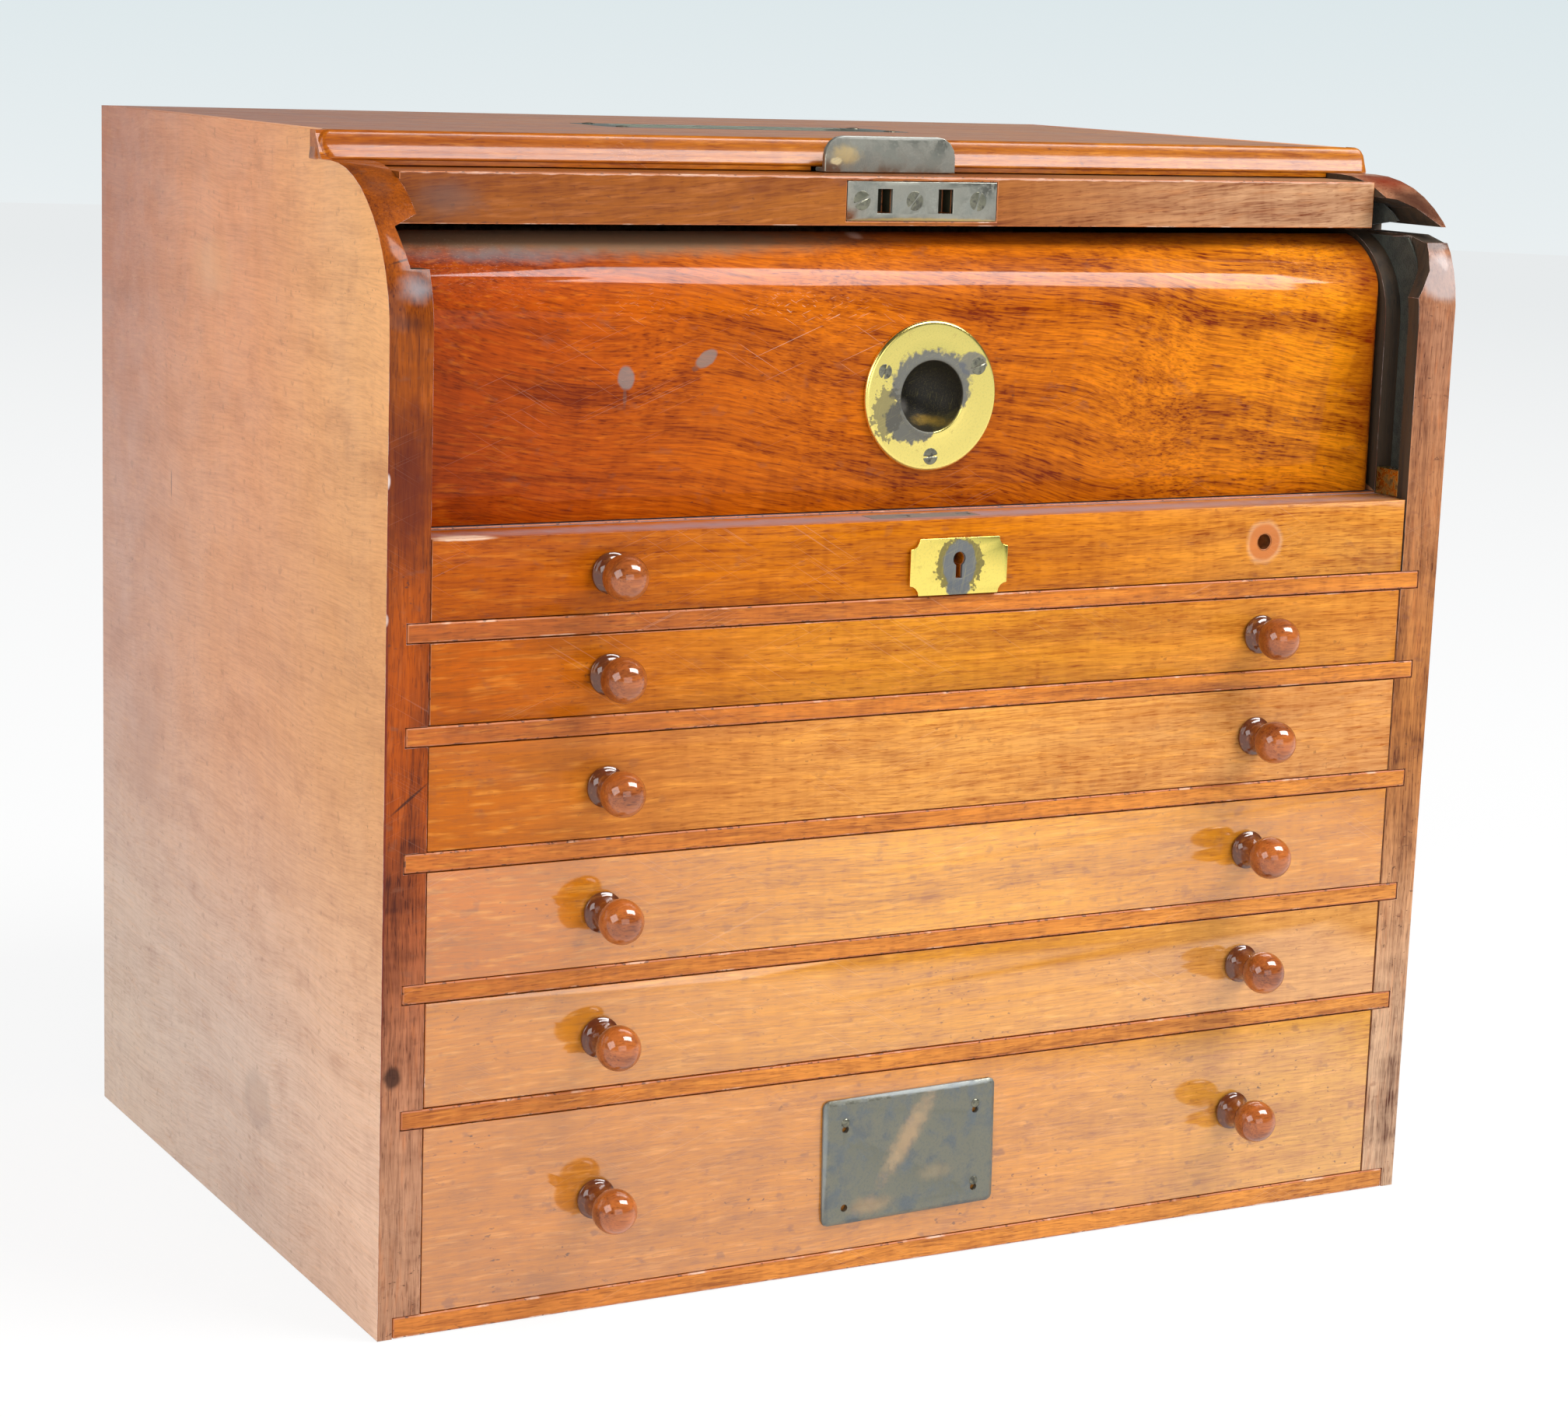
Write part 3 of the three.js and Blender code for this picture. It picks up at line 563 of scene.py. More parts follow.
@dataclass(frozen=True)
class Metal:
    """Cast or rolled brass, bronze or iron with its old skin: rubbed bright where it is handled and
    covered in tarnish elsewhere, so that gloss and colour change together.

    Attributes:
        name: The material's name.
        bright: Colour of the rubbed metal.
        tarnish: Colour of the tarnish.
        cover: Share that tarnish covers, from 0 to 1.
        grain: Size of the tarnish's patches in millimetres.
        polish: Roughness of the rubbed metal.
        skin: How far tarnish stops the surface acting as a metal, from 0 to 1.
        tarnish_and_painted_light: Patches of more tarnish, of other colours, and also painted glints, sheen
            and shade.
        speckle: Strength of fine dark crackle.
        scratches: Strength of fine scratches.
    """

    name: str
    bright: str
    tarnish: str
    cover: float
    grain: float
    polish: float
    skin: float = 0.5
    tarnish_and_painted_light: tuple[ColourPatch, ...] = ()
    speckle: float = 0.3
    scratches: float = 0.3

    def make(self) -> bpy.types.Material:
        """Builds the node material.

        Returns:
            The material, where one mask drives colour, roughness and metal.
        """
        material, shader, plain = start_material(self.name)
        cut = 0.60 - 0.32 * self.cover
        # Crackle of 0.9 mm, over patches of the size that the finish gives
        fine = plain.fibre((0.9, 0.9, 0.9), 0.52, 0.62, 3.0, 7.0)
        mask = plain.summed((fine, self.speckle),
                            base=plain.fibre((self.grain,) * 3, cut, cut + 0.30, 4.0, 1.0, 0.3))
        colour = plain.painted(linear(self.bright), (mask, 1.0, self.tarnish))
        for metal_patch in self.tarnish_and_painted_light:
            patch = plain.blob(metal_patch, 2.2)
            colour = plain.painted(colour, (patch, 1.0, metal_patch.colour))
            mask = plain.add("Math", {0: mask, 1: patch}, operation="MAXIMUM", use_clamp=True)
        # Scratches 9 mm long, drawn 0.16 mm wide
        lines = plain.scratched(9, 0.16, (25, 80), 3.0, 0.70)
        relief = plain.summed((mask, 0.7), (lines, -0.4))
        feed(plain.tree, shader, {
            "Base Color": plain.painted(colour, (lines, self.scratches, self.bright)),
            "Roughness": plain.summed((mask, 0.34), base=self.polish),
            "Metallic": plain.summed((mask, -self.skin), base=1.0),
            "Normal": plain.add("Bump", {"Height": relief, "Distance": 0.0001, "Strength": 0.5})})
        return material


def new_piece(name: str, points: np.ndarray, faces: np.ndarray) -> bpy.types.Object:
    """Puts whole arrays of points and faces into a mesh object at the origin.

    Args:
        name: The piece's name.
        points: N × 3 places in millimetres, in the frame.
        faces: M × 4 point numbers, with a number repeated where a face has three corners.

    Returns:
        The object, with doubles merged and faces outwards.
    """
    mesh = bpy.data.meshes.new(name)
    mesh.from_pydata((points * MM).tolist(), [], faces.tolist())
    shape = bmesh.new()
    shape.from_mesh(mesh)
    bmesh.ops.remove_doubles(shape, verts=shape.verts, dist=1e-6)
    bmesh.ops.dissolve_degenerate(shape, edges=shape.edges, dist=1e-7)
    bmesh.ops.recalc_face_normals(shape, faces=shape.faces)
    for face in shape.faces:
        face.smooth = True
    shape.to_mesh(mesh)
    shape.free()
    piece = bpy.data.objects.new(name, mesh)
    bpy.context.collection.objects.link(piece)
    return piece


def grid_faces(rows: int, columns: int, wrap: bool) -> np.ndarray:
    """The four corners of every cell of a grid of rows × columns points.

    Args:
        rows: Points along the first parameter.
        columns: Points along the second parameter.
        wrap: Whether the last column joins the first.

    Returns:
        M × 4 point numbers.
    """
    last = columns if wrap else columns - 1
    row, column = np.meshgrid(np.arange(rows - 1), np.arange(last), indexing="ij")
    after = (column + 1) % columns
    corners = [row * columns + column, row * columns + after, (row + 1) * columns + after,
               (row + 1) * columns + column]
    return np.stack(corners, axis=-1).reshape(-1, 4)


def lathe(name: str, profile: np.ndarray, centre: tuple[float, float, float], steps: int) -> bpy.types.Object:
    """Turns a profile about an axis that faces forwards: each point of radius r and height h sweeps a
    circle of radius r about the axis, at h along it.

    Args:
        name: The piece's name.
        profile: N × 2 radius and height in millimetres, closed on the axis at both ends.
        centre: The point of height 0 in the frame.
        steps: Points round each circle.

    Returns:
        The turned piece.
    """
    turn = np.linspace(0, 2 * np.pi, steps, endpoint=False)
    radius, height = profile[:, :1], profile[:, 1:]
    up = Vector((0, -1, 0))
    side = up.orthogonal().normalized()
    across = up.cross(side)
    points = (np.array(centre) + (radius * np.cos(turn))[..., None] * np.array(side)
              + (radius * np.sin(turn))[..., None] * np.array(across)
              + (height * np.ones(steps))[..., None] * np.array(up))
    return new_piece(name, points.reshape(-1, 3), grid_faces(len(profile), steps, True))


def softened(node: str, bevel: float, finish: bpy.types.Material, worn: bpy.types.Material | None = None,
             segments: int = 3, smooth: bool = True) -> bpy.types.Object:
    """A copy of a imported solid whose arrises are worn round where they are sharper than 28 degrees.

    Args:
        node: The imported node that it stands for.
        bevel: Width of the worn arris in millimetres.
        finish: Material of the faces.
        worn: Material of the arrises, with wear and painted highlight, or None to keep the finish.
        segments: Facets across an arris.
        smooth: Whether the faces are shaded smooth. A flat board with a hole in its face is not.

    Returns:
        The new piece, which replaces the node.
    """
    source = frame["nodes"][node]
    mesh = source.data.copy()
    shape = bmesh.new()
    shape.from_mesh(mesh)
    bmesh.ops.remove_doubles(shape, verts=shape.verts, dist=2e-6)
    bmesh.ops.dissolve_limit(shape, angle_limit=math.radians(0.6), verts=shape.verts, edges=shape.edges)
    for face in shape.faces:
        face.smooth = smooth
        face.material_index = 0
    shape.to_mesh(mesh)
    shape.free()
    piece = bpy.data.objects.new(f"{node}_board", mesh)
    bpy.context.collection.objects.link(piece)
    mesh.materials.clear()
    mesh.materials.append(finish)
    rounding = piece.modifiers.new("arris", "BEVEL")
    rounding.width = bevel * MM
    rounding.segments = segments
    rounding.limit_method = "ANGLE"
    rounding.angle_limit = math.radians(28)
    rounding.harden_normals = True
    rounding.use_clamp_overlap = True
    if worn:
        mesh.materials.append(worn)
        rounding.material = 1
    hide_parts(node)
    return piece


def dress(node: str, finish: bpy.types.Material) -> None:
    """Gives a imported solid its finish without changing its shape.

    Args:
        node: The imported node.
        finish: Its material.
    """
    holder = frame["nodes"][node]
    holder.data.materials.clear()
    holder.data.materials.append(finish)


def settle(piece: bpy.types.Object, body: str, finish: bpy.types.Material | None = None) -> None:
    """Makes a piece ride on its body and finish, and reports it.

    Args:
        piece: The piece.
        body: The body that moves it.
        finish: Its material, or None where it has one.
    """
    if finish:
        piece.data.materials.clear()
        piece.data.materials.append(finish)
    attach(piece, body)
    LOG.info("%s rides on %s", piece.name, body)


class Finish(Enum):
    """The finishes of the cabinet, each with its recipe."""

    SIDE = FrenchPolishedMahogany(
        "side_rubbed_mahogany",
        (("#e5bda1", "#dcc0ac", "#e1c4ac"),
         ("#df9f66", "#df9d70", "#ca9479"),
         ("#f5b374", "#e79a68", "#c17651")),
        tone_axis=Axis.Y, tone_span=(-130.0, 130.0), tone_rise=(40.0, 350.0), turn=(0, 0, 90), seed=3.0,
        deep="#8a4a2a", glow="#f0b078", figure=0.4, ribbon=0.12, wave=8.0, pores=0.12, grime=0.5,
        scratches=0.15, coat=0.35, gloss=0.2,
        stains_and_painted_light=(
            ColourPatch((-203, -30, 48), (8, 16, 13), "#9a8478", 0.35, 0.5),
            ColourPatch((-203, -30, 48), (8, 12, 9), "#d0ac94", 0.4, 0.5),
            ColourPatch((-203, 62, 250), (8, 0.8, 6), "#6a4636", 0.6, 0.5),
            ColourPatch((-203, 20, 330), (8, 30, 16), "#e0a878", 0.4, 0.9),
            ColourPatch((-203, 90, 150), (8, 26, 40), "#b88870", 0.35, 0.9)))
    STILE = FrenchPolishedMahogany(
        "stile_dark_mahogany",
        (("#b58566", "#b58566", "#cda888"),
         ("#a84903", "#a84903", "#bd793c"),
         ("#994a05", "#994a05", "#a97657")),
        tone_axis=Axis.X, tone_span=(-200.0, 200.0), tone_rise=(30.0, 330.0), turn=(0, 90, 0), seed=6.0,
        deep="#4a1c0c", glow="#c06a30", figure=0.8, ribbon=0.45, grime=0.9, scratches=0.05, coat=0.3,
        stains_and_painted_light=(
            ColourPatch((-196, -140, 276), (12, 20, 40), "#561c0e", 0.85, 0.8),
            ColourPatch((-203, -142, 190), (1.0, 1.4, 170), "#64221a", 0.75, 0.5, 0.2),
            ColourPatch((-203, -142, 277), (1.1, 1.6, 3.0), "#ead8d0", 0.7, 0.6, 0.4),
            ColourPatch((-203, -142, 234), (0.9, 1.6, 2.2), "#e2c8bc", 0.6, 0.6, 0.4),
            ColourPatch((-199, -142, 87), (3.5, 9, 5), "#2c140c", 0.85, 0.5),
            ColourPatch((-194.5, -142, 177), (10.5, 9, 0.6), "#381a10", 0.85, 0.6, 0.15, -38),
            # Painted reflection: a grey-blue patch on the left lip below the chip.
            ColourPatch((-194, -137, 335), (8, 14, 6), "#8e8e92", 0.7, 0.9),
            ColourPatch((-197, -112, 363), (7, 12, 7), "#553428", 0.6, 0.9),
            ColourPatch((-196, -137, 325), (10, 14, 4), "#43221a", 0.6, 0.8),
            ColourPatch((-195, -134, 344), (9, 9, 0.5), "#301812", 0.8, 0.6, 0.15, -14),
            ColourPatch((200, -104, 368), (16, 16, 10), "#8a2c0c", 0.7, 0.9),
            ColourPatch((200, -124, 364), (16, 18, 13), "#46261a", 0.9, 0.8),
            # Painted highlight: a pale glare on the right lip below the break.
            ColourPatch((200, -137, 337), (13, 14, 10), "#bab4b4", 0.5, 0.4, 0.2),
            ColourPatch((200, -134, 349), (14, 14, 3.5), "#4a4240", 0.6, 0.7, 0.2),
            # Darker in the hollow under the right splinter.
            ColourPatch((193, -125, 356), (9, 30, 10), "#5c3c2a", 0.9, 0.4)))
    DIVIDER = FrenchPolishedMahogany(
        "divider_mahogany", (("#cc7a30", "#d88a38", "#d89040"), ("#b04c04", "#c86a10", "#d07820")),
        seed=8.0, deep="#7a3a14")
    TOP = FrenchPolishedMahogany(
        "top_mahogany", (("#af5b03", "#b76803", "#bb6e03"),), seed=9.0, coat=0.6, gloss=0.2)
    RAIL = FrenchPolishedMahogany(
        "rail_mahogany", (("#955117", "#9c5b1f", "#c49872"),), seed=10.0, coat=0.3, deep="#6a3216",
        glow="#c27a44", figure=0.9, ribbon=0.4, grime=0.7, scratches=0.0, turn=(0, 5, 0),
        stains_and_painted_light=(
            # Painted shade: dark inside the keeper plate's two slots.
            ColourPatch((-14.5, -108, 361.3), (5.4, 60, 7), "#30362a", 0.95, 0.1, 0.0),
            ColourPatch((9, -108, 361.3), (5.4, 60, 7), "#30362a", 0.95, 0.1, 0.0),
            ColourPatch((-172, -112, 361), (16, 9, 9), "#6e5248", 0.6, 0.9),
            # Painted highlight: a pale pink line along the rail's top arris.
            ColourPatch((0, -112, 369.6), (300, 1.1, 1.0), "#dcb09c", 0.7, 0.4, 0.5)))
    # The deep front and the drawer fronts grow paler away from their left ends, and the lower drawer fronts
    # are paler: over the wood's own tone, this is a painted haze, the pale table's reflection in the polish.
    DEEP = FrenchPolishedMahogany(
        "deep_front_mahogany", (("#aa4203", "#ca6903", "#e68b0b"),), turn=(0, -9, 0), seed=11.0,
        deep="#6a2204", glow="#e07a18", figure=1.1, ribbon=0.4, wave=10.0, grime=0.6, scratches=0.5,
        coat=0.48, coat_foot=0.3, coat_rise=(325.0, 338.0), gloss=0.05,
        stains_and_painted_light=(
            # Painted reflection and shade of the rail above: the top curve is darker, grey-brown to the left,
            # with a blue-grey band at the far left that runs into the highlight.
            ColourPatch((70, -106, 352), (190, 16, 9), "#8a4a1e", 0.5, 0.9, 0.1),
            ColourPatch((-120, -106, 351), (140, 17, 11.5), "#7c6650", 0.9, 0.6, 0.15),
            ColourPatch((-150, -115, 344), (54, 12, 4), "#6c7478", 0.7, 0.9),
            # Painted shade and dark reflection: the right end grows redder and darker beside the side's lip.
            ColourPatch((202, -112, 310), (36, 60, 90), "#8a2c08", 0.95, 0.9, 0.1),
            ColourPatch((-113.2, -121.5, 305), (3.3, 20, 4.4), "#7e736e", 0.8, 0.3, 0.25),
            ColourPatch((-113.6, -121.5, 298.6), (1.0, 20, 4), "#6a4a3e", 0.6, 0.6, 0.3),
            ColourPatch((-84.6, -121.5, 311), (4.8, 20, 2.7), "#7e7068", 0.8, 0.3, 0.3, -32),
            ColourPatch((-88.6, -121.5, 307.6), (1.6, 20, 1.2), "#5c4238", 0.6, 0.6),
            ColourPatch((-20, -102, 350.4), (4, 6, 3), "#e6c4b0", 0.6, 0.6)),
        rubbed=(
            ColourPatch((-46, -121.5, 318), (44, 30, 18), "#ffffff", 0.8, 0.6),))
    FRONT_1 = FrenchPolishedMahogany(
        "front_1_mahogany", (("#b05403", "#cb7506", "#d5913a"),), seed=12.0, coat=0.16, deep="#7a3006",
        glow="#e08a28",
        stains_and_painted_light=(
            ColourPatch((0, -134, 259.6), (400, 14, 1.8), "#9a8a90", 0.85, 0.4, 0.1),
            ColourPatch((-177, -141.7, 258.3), (13, 8, 0.9), "#e2bfa2", 0.85, 0.5, 0.4),
            ColourPatch((127, -141.7, 245.6), (8.6, 9, 8.6), "#cfa888", 0.5, 0.3, 0.2),
            ColourPatch((127, -141.7, 245.6), (7.2, 9, 7.2), "#b8672c", 0.85, 0.2, 0.1),
            ColourPatch((127, -141.7, 245.6), (3.4, 9, 3.4), "#3a1c0e", 0.9, 0.2, 0.1)))
    FRONT_2 = FrenchPolishedMahogany(
        "front_2_mahogany", (("#bb5903", "#cf8620", "#ce8735"),), seed=13.0, coat=0.2, deep="#8a420c",
        glow="#f09a38")
    FRONT_3 = FrenchPolishedMahogany(
        "front_3_mahogany", (("#b95f03", "#d99749", "#cc9054"),), seed=14.0, coat=0.3, gloss=0.2,
        deep="#96501a", glow="#fcae48")
    FRONT_4 = FrenchPolishedMahogany(
        "front_4_mahogany", (("#c46b04", "#e49a25", "#ca7d12"),), seed=15.0, coat=1.0, gloss=0.09,
        shine=2.0, deep="#a06028", glow="#ffba58", grime=0.7)
    FRONT_5 = FrenchPolishedMahogany(
        "front_5_mahogany", (("#ca7b21", "#d8912a", "#cf924d"),), seed=16.0, coat=1.0, gloss=0.09,
        shine=2.0, deep="#a4662e", glow="#ffba60", grime=0.7)
    FRONT_6 = FrenchPolishedMahogany(
        "front_6_mahogany", (("#c47724", "#d08422", "#d2973d"),), seed=17.0, coat=1.0, gloss=0.09,
        shine=2.0, deep="#a0622e", glow="#f8b060", grime=1.0)
    KNOB = FrenchPolishedMahogany(
        "turned_knob_mahogany", (("#b8642a", "#8a4418", "#4e2810"),), tone_axis=Axis.Y,
        tone_span=(-162.0, -141.0), seed=18.0, deep="#5a240a", glow="#d88838", figure=0.7, ribbon=0.5,
        scratches=0.0, coat=1.0, gloss=0.07, shine=1.65)
    SLAT = FrenchPolishedMahogany("slat_mahogany", (("#a25527", "#a9602c", "#b06a36"),), seed=19.0)
    LEDGE = FrenchPolishedMahogany(
        "dusty_ledge_mahogany", (("#948088", "#9c8a92", "#a8949a"),), seed=21.0, deep="#5a3a34",
        glow="#c0aeb0", figure=0.7, scratches=0.5)
    # A dark finish for the faces in and beside the grooves' front parts, and the hollow under the right
    # splinter.
    GROOVE_DARK = BareWood("dark_groove_wood", "#40301f", "#1a1812", (0, 90, 0), 4.0)
    # The arris finishes' pale patches are wear and painted highlight; the stile's are the palest.
    ARRIS = ArrisWearAndHighlight("arris_wear_and_highlight", "#b4652d", "#dcb49a", "#4a2011", 0.3)
    DIVIDER_ARRIS = ArrisWearAndHighlight("divider_arris_wear_and_highlight", "#b0602a", "#d8a888", "#4c2414", 0.15, 5.0)
    STILE_ARRIS = ArrisWearAndHighlight("stile_arris_wear_and_highlight", "#a2543a", "#f6e0d8", "#5a2416", 0.65, 3.0)
    TRAY = BareWood("bare_drawer_wood", "#b98f62", "#7c5532", (0, 0, 90), 1.0)
    BACK = BareWood("bare_back_wood", "#9a6a44", "#5c3a22", (0, 0, 0), 2.0)
    INSIDE = BareWood("bare_case_wood", "#9c6a44", "#5e3820", (0, 0, 0), 3.0)
    BAIZE = Cloth("groove_baize", "#33352a", "#14170f", 0.5)
    CANVAS = Cloth("tambour_canvas", "#a3927a", "#6e5f4c", 0.9)
    PULL_BRASS = Metal(
        "polished_brass_pull", "#fbe684", "#8a7442", 0.0, 5.0, 0.2, skin=0.6, speckle=0.05,
        scratches=0.1,
        tarnish_and_painted_light=(
            ColourPatch((-0.5, -121.5, 300.6), (16.5, 40, 13.0), "#5f6164", 0.95, 0.12, 0.22),
            ColourPatch((-7.0, -121.5, 289.6), (11.5, 40, 8.6), "#5b5d5f", 0.95, 0.12, 0.25),
            ColourPatch((15.5, -121.5, 308.0), (6.0, 40, 4.2), "#64666a", 0.9, 0.15, 0.2),
            ColourPatch((-17, -121.5, 292.0), (6, 40, 9), "#55524a", 0.75, 0.1, 0.9),
            # Tarnish and painted shade darken the bowl; a painted grey sheen lies at its lower left, and
            # painted brass glints along its lower rim.
            ColourPatch((0, -112, 297.2), (12.4, 90, 12.4), "#241f17", 0.95, 0.03, 0.0),
            ColourPatch((-5.5, -112, 293.2), (3.6, 90, 3.4), "#9a9590", 0.5, 0.9, 0.1),
            ColourPatch((2.5, -112, 288.4), (7.5, 90, 2.2), "#a8842c", 0.75, 0.9, 0.5)))
    BRASS = Metal(
        "polished_brass_escutcheon", "#ffe778", "#8a7434", 0.0, 4.0, 0.2, skin=0.6, speckle=0.06,
        scratches=0.1,
        tarnish_and_painted_light=(
            ColourPatch((1.6, -142, 242.9), (9.6, 20, 9.8), "#3c3828", 0.8, 0.08, 0.5),
            ColourPatch((1.6, -142, 243.1), (6.9, 20, 8.8), "#6b6e70", 0.97, 0.12, 0.15),
            ColourPatch((1.4, -142, 235.0), (5.4, 20, 3.4), "#64686c", 0.95, 0.2, 0.15)))
    STOP_BRASS = Metal("worn_stop_brass", "#c8a858", "#5c4a2c", 0.5, 3.0, 0.24)
    DARK_BRASS = Metal("dark_brass", "#b39a62", "#4a4436", 0.6, 5.0, 0.26)
    DULL_SCREW = Metal("dull_screw_brass", "#8c8a78", "#4c4c44", 0.6, 2.0, 0.3)
    LUG_BRASS = Metal(
        "grey_brass_lug", "#a3a196", "#7c7e76", 0.6, 8.0, 0.28, skin=0.7, speckle=0.2, scratches=0.35,
        tarnish_and_painted_light=(
            ColourPatch((-18, -88, 375.5), (8, 40, 4.6), "#c9b27a", 0.75, 0.7, 0.4),
            ColourPatch((-21, -88, 373.5), (3, 40, 1.6), "#efe2b0", 0.7, 0.5, 0.4),
            # Scratches and a painted highlight: a pale line along the lug's top edge.
            ColourPatch((0, -88, 381.8), (30, 40, 1.3), "#b6b8b2", 0.7, 0.4, 0.2),
            ColourPatch((0, -112, 354.6), (40, 6, 1.5), "#c2a45c", 0.8, 0.4, 0.2)))
    BRONZE = Metal(
        "old_bronze", "#868578", "#5c6366", 0.6, 6.0, 0.34, skin=0.85, speckle=0.3, scratches=0.25,
        tarnish_and_painted_light=(
            ColourPatch((-9.5, -143, 46), (24, 20, 5.6), "#ad9270", 0.85, 0.8, 0.35, -58),
            ColourPatch((1.5, -143, 31.3), (9.5, 20, 4.2), "#948468", 0.6, 0.8, 0.3),
            ColourPatch((-24, -143, 22.5), (12, 20, 4.8), "#a48a68", 0.7, 0.8, 0.3),
            # Painted highlights: pale bluish lines along the plate's top and left bevels.
            ColourPatch((-8.4, -143, 61.5), (40, 20, 1.3), "#a9b0b2", 0.6, 0.5, 0.1),
            ColourPatch((-42, -143, 40), (1.3, 20, 26), "#a0a6a6", 0.5, 0.5, 0.1)))
    IRON = Metal("lock_iron", "#7c7a76", "#43362c", 0.6, 4.0, 0.35)
    STEEL = Metal("screw_steel", "#b4b2aa", "#4c463e", 0.4, 2.0, 0.25)

    def material(self) -> bpy.types.Material:
        """The material, made at its first use."""
        found = bpy.data.materials.get(self.value.name)
        return found or self.value.make()


@dataclass
class Screw:
    """A countersunk screw with one slot: a slightly domed disc with a straight groove.

    Attributes:
        name: The piece's name.
        centre: Middle of its head's foot in the frame, in millimetres.
        radius: Radius of the head.
        rise: How far the head's middle stands out.
        axis: Direction that the head faces.
        slot_angle: Turn of the slot in degrees.
        slot_width: Width of the slot.
    """

    name: str
    centre: tuple[float, float, float]
    radius: float
    rise: float
    axis: tuple[float, float, float] = (0, -1, 0)
    slot_angle: float = 20.0
    slot_width: float = 0.6

    def build(self) -> bpy.types.Object:
        """Builds the head: height falls with the square of the radius, less a groove along one line.

        Returns:
            The closed head.
        """
        rings, steps = 28, 72
        share = np.linspace(0, 1, rings)[:, None]
        turn = np.linspace(0, 2 * np.pi, steps, endpoint=False)[None, :]
        across, along = share * self.radius * np.cos(turn), share * self.radius * np.sin(turn)
        height = self.rise * (1 - 0.7 * share ** 2) * np.ones_like(turn)
        angle = math.radians(self.slot_angle)
        away = np.abs(across * math.sin(angle) - along * math.cos(angle))
        height = height - 0.75 * self.rise * np.clip(1.5 - 2 * away / self.slot_width, 0, 1)
        up = Vector(self.axis).normalized()
        side = up.cross(Vector((0, 0, 1)) if abs(up.z) < 0.9 else Vector((0, 1, 0))).normalized()
        third = up.cross(side)
        cap = (np.array(self.centre) + across[..., None] * np.array(side) + along[..., None] * np.array(third)
               + height[..., None] * np.array(up))
        sunk = 0.4
        rim = cap[-1] - (height[-1][:, None] + sunk) * np.array(up)
        middle = np.broadcast_to(np.array(self.centre) - sunk * np.array(up), rim.shape)
        points = np.concatenate([cap, rim[None], middle[None]])
        return new_piece(self.name, points.reshape(-1, 3), grid_faces(len(points), steps, True))


